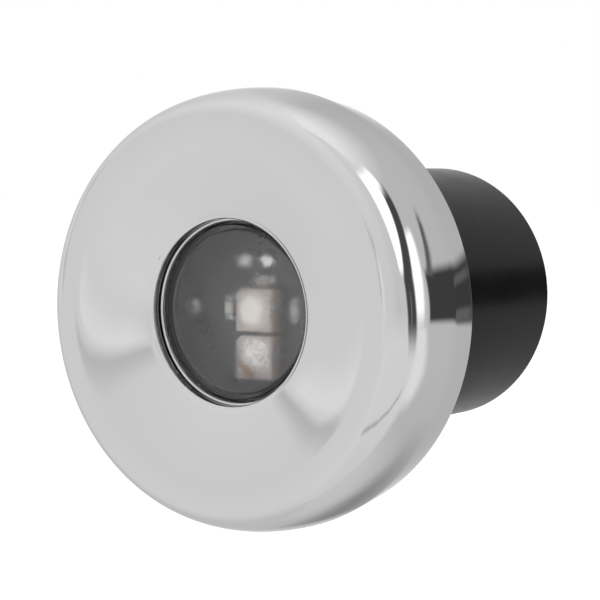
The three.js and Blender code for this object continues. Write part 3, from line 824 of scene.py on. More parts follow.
@dataclass(frozen=True)
class Moulded(Finish):
    """Moulded plastic, rubber, foam or ceramic: grained, mottled and lightly dusted."""

    grain: float = 2600.0
    depth: float = 0.006
    mottle: float = 0.12
    haze: float = 0.04
    dust: float = 0.0
    dust_colour: Colour = (0.3, 0.3, 0.29, 1.0)
    gloss: float = 0.5
    glow_through: float = 0.0
    glow_reach: float = 2.5
    glow_tint: Corner = (1.0, 0.7, 0.58)

    def wire(self, graph: MaterialGraph) -> None:
        """Adds the grain to the height, and mottling and dust to the colour and roughness.

        Args:
            graph: The material's graph.
        """
        graph.feed(Specular_IOR_Level=self.gloss, Subsurface_Weight=self.glow_through)
        graph.feed(Subsurface_Scale=self.glow_reach * MM, Subsurface_Radius=self.glow_tint)
        grain = graph.effect(Effects.grain(), {"Scale": self.grain})
        mottle = grain.outputs["Mottle"]
        darker, lighter = shade(self.colour, 1 - self.mottle), shade(self.colour, 1 + self.mottle)
        tint = graph.mix(graph.spread(mottle, *MOTTLE_RANGE, 0.0, 1.0), darker, lighter)
        dust = graph.math("MULTIPLY", graph.effect(Effects.dust()).outputs["Mask"], self.dust)
        low, high = self.roughness - self.haze, self.roughness + self.haze
        graph.feed(Roughness=graph.spread(mottle, *MOTTLE_RANGE, low, high))
        graph.feed(Base_Color=graph.mix(dust, tint, self.dust_colour))
        graph.bump(grain.outputs["Height"], self.depth)


@dataclass(frozen=True)
class Glass(Finish):
    """Clear moulded lens material."""

    ior: float = 1.49
    mottle_scale: float = 220.0
    mottle_range: Point = (0.35, 0.7)
    haze_share: float = 0.5
    wave_depth: float = 0.004

    def wire(self, graph: MaterialGraph) -> None:
        """Lets light through, with a very slight wave on the surface.

        Args:
            graph: The material's graph.
        """
        graph.feed(Transmission_Weight=1.0, IOR=self.ior)
        mottle = graph.effect(Effects.grain(), {"Mottle Scale": self.mottle_scale}).outputs["Mottle"]
        haze = self.roughness * self.haze_share
        low, high = self.roughness - haze, self.roughness + haze
        graph.feed(Roughness=graph.spread(mottle, *self.mottle_range, low, high))
        graph.bump(mottle, self.wave_depth)


@dataclass(frozen=True)
class BoardLacquer(Finish):
    """A circuit board's lacquer, with copper tracks that show through as low ridges."""

    track_scale: float = 420.0
    track_bend: float = 0.55
    track_range: Point = (0.62, 0.7)
    track_shade: float = 1.35
    track_height: float = 0.03
    mottle: Point = (0.85, 1.15)
    speck_shade: float = 3.2

    def wire(self, graph: MaterialGraph) -> None:
        """Adds tracks from the edges of square cells, and specks of dust.

        Args:
            graph: The material's graph.
        """
        inputs = {"Vector": graph.place, "Scale": self.track_scale, "Randomness": self.track_bend}
        cells = graph.add("ShaderNodeTexVoronoi", inputs, distance="CHEBYCHEV", feature="F2")
        tracks = graph.spread(cells.outputs["Distance"], *self.track_range, 0.0, 1.0)
        mottle = graph.effect(Effects.grain()).outputs["Mottle"]
        tint = graph.mix(mottle, *(shade(self.colour, factor) for factor in self.mottle))
        tint = graph.mix(tracks, tint, shade(self.colour, self.track_shade))
        specks = graph.effect(Effects.dust()).outputs["Mask"]
        graph.feed(Base_Color=graph.mix(specks, tint, shade(self.colour, self.speck_shade)))
        graph.bump(tracks, self.track_height)


@dataclass(frozen=True)
class Gel(Finish):
    """Phosphor-filled silicone with a glossy, uneven skin.

    Its colour has a painted highlight: pale in the middle, fading to the rim colour at its edge. A dark
    orange patch at its lower left is the phosphor's own colour, and painted highlight streaks run across its
    upper right. Places are in millimetres from its middle.
    """

    middle: float = 0.0
    radius: float = 2.2
    rim: Colour = (0.6, 0.5, 0.44, 1.0)
    # The share of the radius over which the painted highlight's pale colour holds
    painted_highlight_share: float = 0.55
    coat: float = 0.6
    coat_roughness: float = 0.06
    wander: float = 1.1
    wander_scale: float = 520.0
    patch: Colour = (0.42, 0.2, 0.09, 1.0)
    patch_share: float = 0.0
    patch_top: Point = (-0.1, 0.3)
    patch_top_wander: float = 1.6
    patch_right: Point = (0.6, 1.1)
    patch_right_wander: float = 0.8
    # Painted highlight streaks: their colour, share, scale, bend, range and the corner they lie towards
    painted_streak: Colour = (0.95, 0.95, 0.94, 1.0)
    painted_streak_share: float = 0.0
    painted_streak_scale: float = 1500.0
    painted_streak_bend: float = 1.6
    painted_streak_range: Point = (0.47, 0.53)
    painted_streak_corner: Point = (-1.2, 0.3)
    waves: float = 700.0
    wave_depth: float = 0.05

    def wire(self, graph: MaterialGraph) -> None:
        """Paints a highlight that fades from the middle to the rim, adds the patch and painted highlight
        streaks, and waves the surface.

        Args:
            graph: The material's graph.
        """
        graph.feed(Coat_Weight=self.coat, Coat_Roughness=self.coat_roughness)
        parts = graph.add("ShaderNodeSeparateXYZ", {"Vector": graph.place})
        across = parts.outputs["X"]
        up = graph.math("SUBTRACT", parts.outputs["Z"], self.middle * MM)
        broad = graph.noise(graph.place, self.wander_scale, detail=3.0)

        def wandering(value: Socket, reach: float) -> Socket:
            """A place that wanders by up to a reach in millimetres."""
            return graph.math("MULTIPLY_ADD", broad, reach * MM, value)

        def within(value: Socket, start: float, end: float, to_start: float, to_end: float) -> Socket:
            """A share that changes between two places in millimetres."""
            return graph.spread(value, start * MM, end * MM, to_start, to_end)

        reach = graph.math("ADD", graph.math("MULTIPLY", across, across), graph.math("MULTIPLY", up, up))
        away = wandering(graph.math("SQRT", reach), self.wander)
        half = self.wander / 2
        # Painted highlight: the pale middle colour fades to the rim colour towards the edge
        stops = [(0.0, self.colour), (self.painted_highlight_share, self.colour), (1.0, self.rim)]
        tint = graph.ramp(within(away, half, self.radius + half, 0.0, 1.0), stops, smooth=True)
        low = within(wandering(up, self.patch_top_wander), *self.patch_top, 1.0, 0.0)
        left = within(wandering(across, self.patch_right_wander), *self.patch_right, 1.0, 0.0)
        patched = graph.math("MULTIPLY", graph.math("MULTIPLY", low, left), self.patch_share)
        tint = graph.mix(patched, tint, self.patch)
        # Painted highlight streaks, mixed into the colour towards the upper right
        fine = graph.noise(graph.place, self.painted_streak_scale, bend=self.painted_streak_bend)
        painted_streaks = graph.spread(fine, *self.painted_streak_range, 0.0, 1.0)
        corner = within(graph.math("ADD", across, up), *self.painted_streak_corner, 0.0, 1.0)
        bright = graph.math("MULTIPLY", graph.math("MULTIPLY", painted_streaks, corner), self.painted_streak_share)
        graph.feed(Base_Color=graph.mix(bright, tint, self.painted_streak))
        graph.bump(graph.noise(graph.place, self.waves, detail=3.0), self.wave_depth)


POLISHED_COVER = Polished("polished_cover", (0.605, 0.604, 0.606, 1.0), 0.032)
BRIGHT_RING = Metal("bright_ring", (0.55, 0.55, 0.57, 1.0), 0.16, depth=0.001)
SATIN_BLACK = Moulded("satin_black", (0.0055, 0.0055, 0.006, 1.0), 0.25, dust=0.08, gloss=0.085)
RUBBER = Moulded("black_rubber", (0.014, 0.014, 0.0145, 1.0), 0.72, depth=0.012, dust=0.4)
FOAM = Moulded("gasket_foam", paint(74, 75, 77), 0.95, grain=3800.0, depth=0.12, mottle=0.3)
CLEAR_LENS = Glass("clear_lens", (0.97, 0.975, 0.98, 1.0), 0.2)
WELL_BLACK = Moulded("well_black", paint(30, 30, 33), 0.32, dust=0.6)
DARK_BOARD = BoardLacquer("dark_board", (0.0505, 0.0455, 0.0515, 1.0), 0.38)
GREEN_BOARD = BoardLacquer("green_board", paint(34, 84, 48), 0.36)
CERAMIC = paint(220, 203, 195)
LED_WHITE = Moulded("led_white", CERAMIC, 0.45, grain=4000.0, depth=0.004, mottle=0.08, glow_through=0.8)
# The gels' pale colours and the lower gel's streaks are painted highlights; the lower gel's orange patch is
# the phosphor's own colour
GEL_UPPER = Gel("gel_upper", paint(252, 249, 238), 0.3, rim=CERAMIC, waves=300.0, wave_depth=0.03)
GEL_LOWER = Gel(
    "gel_lower",
    paint(214, 206, 198),
    0.2,
    middle=-5.7,
    rim=CERAMIC,
    patch=paint(178, 132, 104),
    patch_share=0.85,
    painted_streak_share=0.9,
    waves=900.0,
    wave_depth=0.14,
)
RESISTOR_PALE = Moulded("resistor_pale", paint(196, 194, 192), 0.4, depth=0.008)
TINNED = Metal("tinned", (0.4, 0.4, 0.39, 1.0), 0.42, depth=0.004)
SOLDER = Metal("solder", (0.66, 0.66, 0.66, 1.0), 0.32, depth=0.03)
DARK_SCREW = Metal("dark_screw", (0.34, 0.34, 0.35, 1.0), 0.5)
STEEL_SCREW = Metal("steel_screw", (0.42, 0.42, 0.43, 1.0), 0.3)
SINK_ALUMINIUM = Metal("sink_aluminium", (0.5, 0.51, 0.53, 1.0), 0.42, depth=0.006)
GREY_PAD = Moulded("thermal_pad_grey", paint(150, 156, 162), 0.85, depth=0.03)
RED_WIRE = Moulded("red_wire", paint(168, 32, 24), 0.42, depth=0.004)
BLACK_WIRE = Moulded("black_wire", paint(22, 22, 22), 0.42, depth=0.004)
BLACK_PART = Moulded("black_part", paint(33, 33, 35), 0.48, grain=3600.0, depth=0.01)
CAPACITOR_SLEEVE = Moulded("capacitor_sleeve", paint(39, 48, 79), 0.32, depth=0.003)
FERRITE = Moulded("ferrite", paint(52, 52, 56), 0.6, grain=3600.0, depth=0.02)
VARISTOR_BLUE = Moulded("varistor_blue", paint(36, 86, 150), 0.35, depth=0.01)
TERMINAL_GREEN = Moulded("terminal_green", paint(38, 118, 62), 0.4, depth=0.005)


def dress(obj: Piece, finish: Finish) -> Piece:
    """Gives an object one finish all over.

    Args:
        obj: The object.
        finish: The finish.

    Returns:
        The same object.
    """
    obj.data.materials.clear()
    obj.data.materials.append(finish.material())
    return obj


def deliver(obj: Piece, node: str, body: Body = Body.LIGHT) -> None:
    """Hands a finished piece to the frame.

    Args:
        obj: The piece, at the origin, dressed.
        node: The CAD node that it stands for.
        body: The body that it rides on.
    """
    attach(obj, body.value)
    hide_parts(node)
    log.info("%s: %d faces on %s", obj.name, len(obj.data.polygons), body.value)


# The studio


@dataclass(frozen=True)
class Card:
    """A soft box or a dark flag, seen only in reflections. Its rows go from one end to the other.

    Each row has the azimuth and elevation of the card's left and right edge in degrees. Azimuth goes from
    -Y towards +X. Each soft value is the share of the card over which that side fades out.
    """

    name: str
    level: float
    rows: tuple[tuple[float, float, float, float], ...]
    soft_left: float
    soft_right: float
    soft_start: float
    soft_end: float


def ribbon(name: str, level: float, path: Sequence[Corner], soft: Point, ends: Point) -> Card:
    """A card that follows a path.

    Args:
        name: The card's name.
        level: How bright it is.
        path: The azimuth, the elevation and the width in degrees at each step.
        soft: How soft its left and its right side are, as seen along the path.
        ends: How soft its start and its end are.

    Returns:
        The card.
    """
    rows = []
    for index, (azimuth, elevation, width) in enumerate(path):
        before = path[max(0, index - 1)]
        after = path[min(len(path) - 1, index + 1)]
        shrink = math.cos(math.radians(elevation))
        along = Vector(((after[0] - before[0]) * shrink, after[1] - before[1])).normalized()
        aside = Vector((-along.y, along.x)) * (width / 2)
        left = (azimuth + aside.x / shrink, elevation + aside.y)
        right = (azimuth - aside.x / shrink, elevation - aside.y)
        rows.append((*left, *right))
    return Card(name, level, tuple(rows), *soft, *ends)


@dataclass(frozen=True)
class StudioLevels:
    """How bright the pale studio looks in a mirror, by elevation and by azimuth in degrees."""

    upper: tuple[Point, ...] = ((-10, 0.96), (10, 0.99), (35, 1.04), (55, 1.08), (75, 1.13))
    upper_round: tuple[Point, ...] = (
        *((-90, 1.02), (-60, 0.99), (0, 0.97), (60, 0.94)),
        *((80, 0.87), (94, 0.87), (130, 1.0)),
    )
    lower: tuple[Point, ...] = ((-70, 0.95), (-40, 1.0), (-16, 1.01), (-6, 1.04), (0, 1.04))
    lower_round: tuple[Point, ...] = (
        *((-140, 0.87), (-92, 0.88), (-76, 0.93), (-40, 0.97)),
        *((0, 1.02), (40, 1.0), (90, 1.0)),
    )
    behind: tuple[Point, ...] = (
        *((-60, 0.88), (-40, 0.73), (-17, 0.77), (15, 0.75)),
        *((45, 0.77), (56, 1.02), (70, 1.25)),
    )
    behind_share: tuple[Point, ...] = ((-157, 1.0), (-140, 0.0), (119, 0.0), (128, 1.0))
    split: Point = (-12.0, 0.0)


def any_ray(graph: Graph, *kinds: str) -> Socket:
    """A mask of the rays of some kinds.

    Args:
        graph: The graph to add nodes to.
        kinds: Any of Camera, Glossy and Transmission.

    Returns:
        One where a ray is of any of the kinds.
    """
    rays = graph.add("ShaderNodeLightPath")
    seen = rays.outputs[f"Is {kinds[0]} Ray"]
    for kind in kinds[1:]:
        seen = graph.math("MAXIMUM", seen, rays.outputs[f"Is {kind} Ray"])
    return seen


@dataclass
class Studio:
    """The camera, the world, the floor and the cards that the metal reflects."""

    azimuth: float = 34.7
    elevation: float = 4.02
    distance: float = 250.0
    lens: float = 120.7
    sensor: float = 36.0
    shift_across: float = 0.0187
    shift_up: float = 0.011
    floor_height: float = -90.0
    floor_size: float = 9000.0
    floor_level: float = 0.8
    floor_glow: float = 0.42
    lamp_power: float = 14.0
    lamp_size: float = 1400.0
    lamp_distance: float = 1600.0
    lamp_place: Point = (20.0, 52.0)
    card_distance: float = 2400.0
    card_gap: float = 25.0
    card_columns: int = 9
    card_steps: int = 6
    diffuse_level: float = 0.78
    levels: StudioLevels = StudioLevels()

    def build(self) -> None:
        """Makes the whole studio."""
        self.add_camera()
        self.light_world()
        self.add_floor()
        self.add_lamp()
        for order, card in enumerate(self.cards()):
            self.add_card(card, self.card_distance - order * self.card_gap)

    def direction(self, azimuth: float, elevation: float) -> Vector:
        """The unit vector towards an azimuth and elevation in degrees."""
        across, up = math.radians(azimuth), math.radians(elevation)
        return Vector((math.sin(across) * math.cos(up), -math.cos(across) * math.cos(up), math.sin(up)))

    def hang(self, obj: Piece, azimuth: float, elevation: float, distance: float) -> None:
        """Puts a camera or a lamp in its place, turned towards the light.

        Args:
            obj: The camera or the lamp.
            azimuth: Its azimuth in degrees.
            elevation: Its elevation in degrees.
            distance: How far away it is.
        """
        bpy.context.collection.objects.link(obj)
        away = self.direction(azimuth, elevation)
        obj.location = away * distance * MM
        obj.rotation_euler = away.to_track_quat("Z", "Y").to_euler()

    def add_camera(self) -> None:
        """Puts the camera where the photograph was taken from."""
        data = bpy.data.cameras.new("camera")
        data.lens = self.lens
        data.sensor_width = self.sensor
        data.shift_x = self.shift_across
        data.shift_y = self.shift_up
        data.clip_start = MM
        data.clip_end = 100.0
        camera = bpy.data.objects.new("camera", data)
        self.hang(camera, self.azimuth, self.elevation, self.distance)
        bpy.context.scene.camera = camera

    def light_world(self) -> None:
        """Makes a white background, a soft even light, and what the metal reflects between the cards."""
        world = bpy.data.worlds.new("studio")
        bpy.context.scene.world = world
        graph = Graph(cleared(world))
        ray = graph.add("ShaderNodeTexCoord").outputs["Object"]
        parts = graph.add("ShaderNodeSeparateXYZ", {"Vector": ray})
        rise = graph.math("ARCSINE", parts.outputs["Z"])
        height = graph.spread(rise, -QUARTER_TURN, QUARTER_TURN, 0.0, 1.0)
        backward = graph.math("MULTIPLY", parts.outputs["Y"], -1.0)
        turn = graph.math("ARCTAN2", parts.outputs["X"], backward)
        around = graph.spread(turn, -math.pi, math.pi, 0.0, 1.0)
        reflected = self.reflected_level(graph, height, around)
        plain = (self.diffuse_level, self.diffuse_level, self.diffuse_level, 1.0)
        colour = graph.mix(any_ray(graph, "Glossy"), plain, reflected)
        colour = graph.mix(any_ray(graph, "Camera", "Transmission"), colour, WHITE)
        background = graph.add("ShaderNodeBackground", {"Color": colour, "Strength": 1.0})
        graph.add("ShaderNodeOutputWorld", {"Surface": background.outputs["Background"]})

    def reflected_level(self, graph: Graph, height: Socket, around: Socket) -> Socket:
        """The level of the pale studio in each direction.

        Args:
            graph: The world's graph.
            height: The direction's height, from 0 at the bottom to 1 at the top.
            around: Its way round, from 0 to 1.

        Returns:
            The level.
        """

        def product(first: object, second: object) -> Socket:
            """Two colours multiplied."""
            node = graph.add("ShaderNodeVectorMath", {0: first, 1: second}, operation="MULTIPLY")
            return node.outputs["Vector"]

        def level(way: Socket, reach: float, stops: Sequence[Point]) -> Socket:
            """A level along one way. A ramp holds no more than 1, so it has half of it, doubled after."""
            halves = graph.ramp(way, [((place + reach) / (2 * reach), value / 2) for place, value in stops])
            return product(halves, (2.0, 2.0, 2.0))

        levels = self.levels
        shares = [((place + 180) / 360, share) for place, share in levels.behind_share]
        low, high = ((place + 90) / 180 for place in levels.split)
        upper = product(level(height, 90, levels.upper), level(around, 180, levels.upper_round))
        lower = product(level(height, 90, levels.lower), level(around, 180, levels.lower_round))
        front = graph.mix(graph.spread(height, low, high, 0.0, 1.0), lower, upper)
        return graph.mix(graph.ramp(around, shares), front, level(height, 90, levels.behind))

    def add_floor(self) -> None:
        """Lays the pale floor, which takes the object's soft shadow."""
        deselect_all()
        place = (0, 0, self.floor_height * MM)
        bpy.ops.mesh.primitive_plane_add(size=self.floor_size * MM, location=place)
        floor = bpy.context.object
        floor.name = "floor"
        material = bpy.data.materials.new("floor_pale")
        graph = Graph(cleared(material))
        colour = (self.floor_level, self.floor_level, self.floor_level, 1.0)
        paper = graph.add("ShaderNodeBsdfDiffuse", {"Color": colour})
        seen = any_ray(graph, "Camera", "Glossy", "Transmission")
        strength = graph.math("MULTIPLY", seen, self.floor_glow)
        glow = graph.add("ShaderNodeEmission", {"Strength": strength})
        both = graph.add("ShaderNodeAddShader", {0: paper.outputs["BSDF"], 1: glow.outputs["Emission"]})
        graph.add("ShaderNodeOutputMaterial", {"Surface": both.outputs["Shader"]})
        floor.data.materials.append(material)
        floor.visible_glossy = False

    def add_lamp(self) -> None:
        """Hangs one large soft lamp above and in front, which gives dull surfaces their shape."""
        data = bpy.data.lights.new("soft_lamp", "AREA")
        data.shape = "SQUARE"
        data.size = self.lamp_size * MM
        data.energy = self.lamp_power
        lamp = bpy.data.objects.new("soft_lamp", data)
        self.hang(lamp, *self.lamp_place, self.lamp_distance)
        lamp.visible_glossy = False
        lamp.visible_camera = False

    def add_card(self, card: Card, distance: float) -> None:
        """Hangs a card: a grid whose rows lie between the card's edges.

        Args:
            card: The card.
            distance: How far away it hangs.
        """
        deselect_all()
        spans = len(card.rows) - 1
        grid = {"x_subdivisions": self.card_columns, "y_subdivisions": self.card_steps * spans}
        bpy.ops.mesh.primitive_grid_add(size=1.0, **grid)
        obj = bpy.context.object
        obj.name = f"card_{card.name}"
        for vertex in obj.data.vertices:
            share, place = vertex.co.x + 0.5, (vertex.co.y + 0.5) * spans
            index = min(spans - 1, int(place))
            row = Vector(card.rows[index]).lerp(Vector(card.rows[index + 1]), place - index)
            azimuth = row[0] + (row[2] - row[0]) * share
            elevation = row[1] + (row[3] - row[1]) * share
            vertex.co = self.direction(azimuth, elevation) * distance * MM
        obj.data.materials.append(self.card_material(card))
        obj.visible_camera = False
        obj.visible_diffuse = False
        obj.visible_shadow = False
        obj.visible_transmission = False

    def card_material(self, card: Card) -> Material:
        """An even glow that fades out towards the card's edges.

        Args:
            card: The card.

        Returns:
            The card's material.
        """
        material = bpy.data.materials.new(f"card_{card.name}")
        graph = Graph(cleared(material))
        place = graph.add("ShaderNodeTexCoord").outputs["UV"]
        parts = graph.add("ShaderNodeSeparateXYZ", {"Vector": place})

        def fade(value: Socket, soft: float) -> Socket:
            """A share that rises from an edge over a soft share of the card."""
            inputs = {"Value": value, "From Max": soft}
            return graph.add("ShaderNodeMapRange", inputs, interpolation_type="SMOOTHSTEP").outputs["Result"]

        def fades(value: Socket, start: float, end: float) -> Socket:
            """A share that is soft at both edges."""
            return graph.math("MULTIPLY", fade(value, start), fade(graph.math("SUBTRACT", 1.0, value), end))

        across = fades(parts.outputs["X"], card.soft_left, card.soft_right)
        along = fades(parts.outputs["Y"], card.soft_start, card.soft_end)
        mask = graph.math("MULTIPLY", across, along)
        glow = graph.add("ShaderNodeEmission", {"Strength": card.level})
        clear = graph.add("ShaderNodeBsdfTransparent")
        inputs = {0: mask, 1: clear.outputs["BSDF"], 2: glow.outputs["Emission"]}
        both = graph.add("ShaderNodeMixShader", inputs)
        graph.add("ShaderNodeOutputMaterial", {"Surface": both.outputs["Shader"]})
        return material

    def cards(self) -> list[Card]:
        """The soft boxes and flags.

        Returns:
            The cards, from the farthest to the nearest.
        """
        lamp_right = (
            *((93, 14, 104, 12), (93, 24, 109, 23), (93, 34, 115, 32)),
            *((94.5, 44, 124, 41), (97, 53, 134, 47), (101, 64, 140, 58)),
        )
        lamp_strip = (
            *((113, -8, 124, -8), (113, 5, 125, 5), (114, 12, 126.5, 12)),
            *((115, 18, 128, 18), (117, 24, 130, 24), (120, 31, 132, 31)),
        )
        ridge = ((112, -40, 134, -40), (112, -22, 136, -22), (113, -5, 127, -5))
        flag_dark = (
            *((106, -20, 118, -20), (100, -8, 116.5, -8), (98, 4, 115.5, 4), (97.5, 13, 115.5, 13)),
            *((103, 21, 118, 19), (109, 29, 122, 27), (114, 36, 127, 34), (119, 42, 131, 39)),
            *((124, 47, 135, 44), (130, 52, 139, 48)),
        )
        flag_square = (
            *((127, -6.2, 127, 15.5), (140, -6.2, 140, 14.2), (152, -6.3, 152, 12.4)),
            *((160, -6.4, 160, 10.4), (168, -6.5, 168, 8.4), (192, -6.5, 192, 8)),
        )
        mottle_high = ((157, 2.2, 157, 5.4), (178, 2.2, 178, 5.4))
        mottle_low = ((155, -6.0, 155, -1.6), (178, -6.0, 178, -1.6))
        glint = [(107, -10, 1.8), (107.5, 0, 2.2), (107, 10, 1.8)]
        flag_thin = [(131.5, 10, 8.0), (135.5, 17, 7.0), (139, 23, 5.4), (143, 28, 4.6), (148, 32, 4.0)]
        shoulder_line = [
            *((8, -31.5, 4.0), (25, -39.5, 5.5), (50, -46, 6.0), (78, -47.5, 6.0)),
            *((101, -41.5, 5.0), (110, -34, 4.5), (112, -27, 4.0)),
        ]
        right_arm_glow = [
            *((-31, -5.4, 1.5), (-26, -4.4, 4), (-19, -3, 7)),
            *((-9.6, -0.5, 10), (0.3, 1.5, 13), (9, 3, 15)),
        ]
        left_arm_glow = [(-41, -4.4, 1.5), (-47, -2.2, 5), (-55, 1.2, 8), (-64.7, 4.6, 11), (-75, 7, 14)]
        right_arm = [
            *((-33, -3.7, 0.8), (-31.6, -3.3, 1.5), (-30.2, -2.7, 2.0), (-28, -1.6, 2.8), (-23.5, 0.6, 4.5)),
            *((-17.7, 3.6, 6), (-10, 7.7, 8), (-3.3, 11.2, 10), (3, 15, 12)),
        ]
        left_arm = [
            *((-39.2, -3.7, 0.9), (-40.4, -2.8, 1.6), (-41.6, -2.0, 2.3), (-43, -0.9, 3.0), (-47, 2.7, 4)),
            *((-51, 5.5, 5), (-57.5, 9.8, 6.5), (-63, 13.5, 8), (-70, 18, 9.5)),
        ]
        low_behind = [
            *((146, -37, 12), (160, -38, 20), (176, -41, 26)),
            *((190, -41, 28), (201, -36, 26), (212, -27, 20)),
        ]
        left_behind = ((-152, -2, -118, -2), (-152, 17, -118, 17))
        return [
            Card("lamp_right", 1.9, lamp_right, 0.14, 0.08, 0.12, 0.12),
            Card("lamp_strip", 1.75, lamp_strip, 0.1, 0.3, 0.16, 0.14),
            Card("ridge", 1.14, ridge, 0.4, 0.4, 0.3, 0.1),
            Card("flag_dark", 0.09, flag_dark, 0.22, 0.2, 0.16, 0.2),
            ribbon("glint", 0.3, glint, (0.5, 0.5), (0.25, 0.25)),
            Card("flag_square", 0.07, flag_square, 0.14, 0.22, 0.03, 0.1),
            Card("mottle_high", 0.17, mottle_high, 0.4, 0.4, 0.3, 0.3),
            Card("mottle_low", 0.19, mottle_low, 0.4, 0.4, 0.3, 0.3),
            ribbon("flag_thin", 0.16, flag_thin, (0.35, 0.55), (0.05, 0.4)),
            ribbon("shoulder_line", 0.66, shoulder_line, (0.5, 0.5), (0.16, 0.2)),
            ribbon("right_arm_glow", 1.11, right_arm_glow, (0.25, 0.8), (0.12, 0.3)),
            ribbon("left_arm_glow", 1.12, left_arm_glow, (0.8, 0.25), (0.12, 0.3)),
            ribbon("right_arm", 0.76, right_arm, (0.8, 0.3), (0.16, 0.1)),
            ribbon("left_arm", 0.73, left_arm, (0.3, 0.8), (0.13, 0.1)),
            ribbon("low_behind", 0.4, low_behind, (0.55, 0.55), (0.7, 0.12)),
            Card("left_behind", 1.22, left_behind, 0.3, 0.3, 0.3, 0.3),
        ]


# The light's own sub-assemblies


def bent(start: float, middle: float, end: float, share: float) -> float:
    """A value part of the way along a curve from a start to an end, drawn towards a middle."""
    rest = 1 - share
    return rest * rest * start + 2 * rest * share * middle + share * share * end


@dataclass
class CoverShell:
    """The polished cover: rolled side, dished face and round window."""

    depth: float = 15.7
    radius: float = 27.0
    back_radius: float = 26.2
    back_edge: float = 0.4
    widest: float = 5.4
    crest_radius: float = 23.7
    dish: float = 2.7
    dish_pull: float = 0.5
    window_radius: float = 11.2
    window_edge: float = 0.35
    lip_edge: float = 0.12
    wall: float = 1.2
    bore_radius: float = 24.9
    bore_edge: float = 0.15
    bore_depth: float = 6.0
    bore_crest_radius: float = 22.9
    ring_softness: float = 0.6
    ring_steps: int = 8
    rim_steps: int = 7
    rim_margin: float = 0.1
    shoulder_steps: int = 72
    face_steps: int = 64
    inner_steps: int = 16
    turn_steps: int = 224

    def face_points(self, outer: float, inner: float, back: float, steps: int) -> list[Point]:
        """The dished face in section.

        Args:
            outer: The radius that its points stay within.
            inner: The radius that they stay outside.
            back: How far the face is moved back.
            steps: Steps from the crest to the window.

        Returns:
            Its points, from the crest inwards.
        """
        pull = (self.crest_radius - self.window_radius) * self.dish_pull
        points = []
        for step in range(steps + 1):
            share = step / steps
            radius = bent(self.crest_radius, self.crest_radius - pull, self.window_radius, share)
            if inner < radius < outer:
                points.append((radius, -self.depth + share * share * self.dish + back))
        return points

    def shoulder_points(self, side: Point, top: Point, start: float, steps: int) -> list[Point]:
        """A quarter of an ellipse from the side round to the crest.

        Args:
            side: Where it would start.
            top: Where it ends.
            start: The angle in degrees at which it starts.
            steps: Its steps.

        Returns:
            Its points, from the side to the crest.
        """
        points = []
        for step in range(steps + 1):
            angle = math.radians(start + (90 - start) * step / steps)
            radius = top[0] + (side[0] - top[0]) * math.cos(angle)
            points.append((radius, side[1] + (top[1] - side[1]) * math.sin(angle)))
        return points

    def ring_points(self, start: Point, end: Point) -> list[Point]:
        """The soft bend at the widest ring, from the straight back band into the shoulder.

        Args:
            start: The band's last point.
            end: The shoulder's first point.

        Returns:
            The points between them.
        """
        corner = (self.radius, -self.widest)
        points = []
        for step in range(1, self.ring_steps):
            share = step / self.ring_steps
            points.append(tuple(bent(*places, share) for places in zip(start, corner, end)))
        return points

    def rim_points(self, edge_radius: float) -> list[Point]:
        """The rounded edge of the window, from the face to the inside.

        Args:
            edge_radius: Where its rounding meets the face.

        Returns:
            Its points. The corners beyond each end only give the rounding its direction.
        """
        front = self.dish - self.depth
        back = front + self.wall
        corners = [
            (edge_radius + OVERRUN, front, 0.0),
            (self.window_radius, front, self.window_edge),
            (self.window_radius, back, self.lip_edge),
            (edge_radius + OVERRUN, back, 0.0),
        ]
        return rounded(corners, self.rim_steps)[1:-1]

    def section(self) -> list[Point]:
        """The shell's whole section.

        Returns:
            Its points, from the back of the bore round the outside and back inside.
        """
        side = (self.radius, -self.widest)
        corners = [
            (self.bore_radius, 0.0, self.bore_edge),
            (self.back_radius, 0.0, self.back_edge),
            (*side, 0.0),
            (self.bore_radius, -self.widest, 0.0),
        ]
        slope = (self.radius - self.back_radius) / self.widest
        ring_start = (self.radius - slope * self.ring_softness, -self.widest + self.ring_softness)
        start_angle = math.degrees(math.asin(self.ring_softness / (self.depth - self.widest)))
        crest = (self.crest_radius, -self.depth)
        shoulder = self.shoulder_points(side, crest, start_angle, self.shoulder_steps)
        edge_radius = self.window_radius + self.window_edge
        inner_side = (self.bore_radius, -self.bore_depth)
        inner_crest = (self.bore_crest_radius, self.wall - self.depth)
        inner_face = self.face_points(self.bore_crest_radius, edge_radius, self.wall, self.inner_steps)
        return [
            *rounded(corners)[:-2],
            ring_start,
            *self.ring_points(ring_start, shoulder[0]),
            *shoulder,
            *self.face_points(self.crest_radius, edge_radius + self.rim_margin, 0.0, self.face_steps),
            *self.rim_points(edge_radius),
            *reversed(inner_face),
            *reversed(self.shoulder_points(inner_side, inner_crest, 0.0, self.inner_steps)),
        ]

    def build(self) -> None:
        """Makes the shell."""
        shell = turned("cover_polished", self.section(), self.turn_steps)
        smoothed(shell, CRISP, weighted=False)
        deliver(dress(shell, POLISHED_COVER), "cover", Body.COVER)


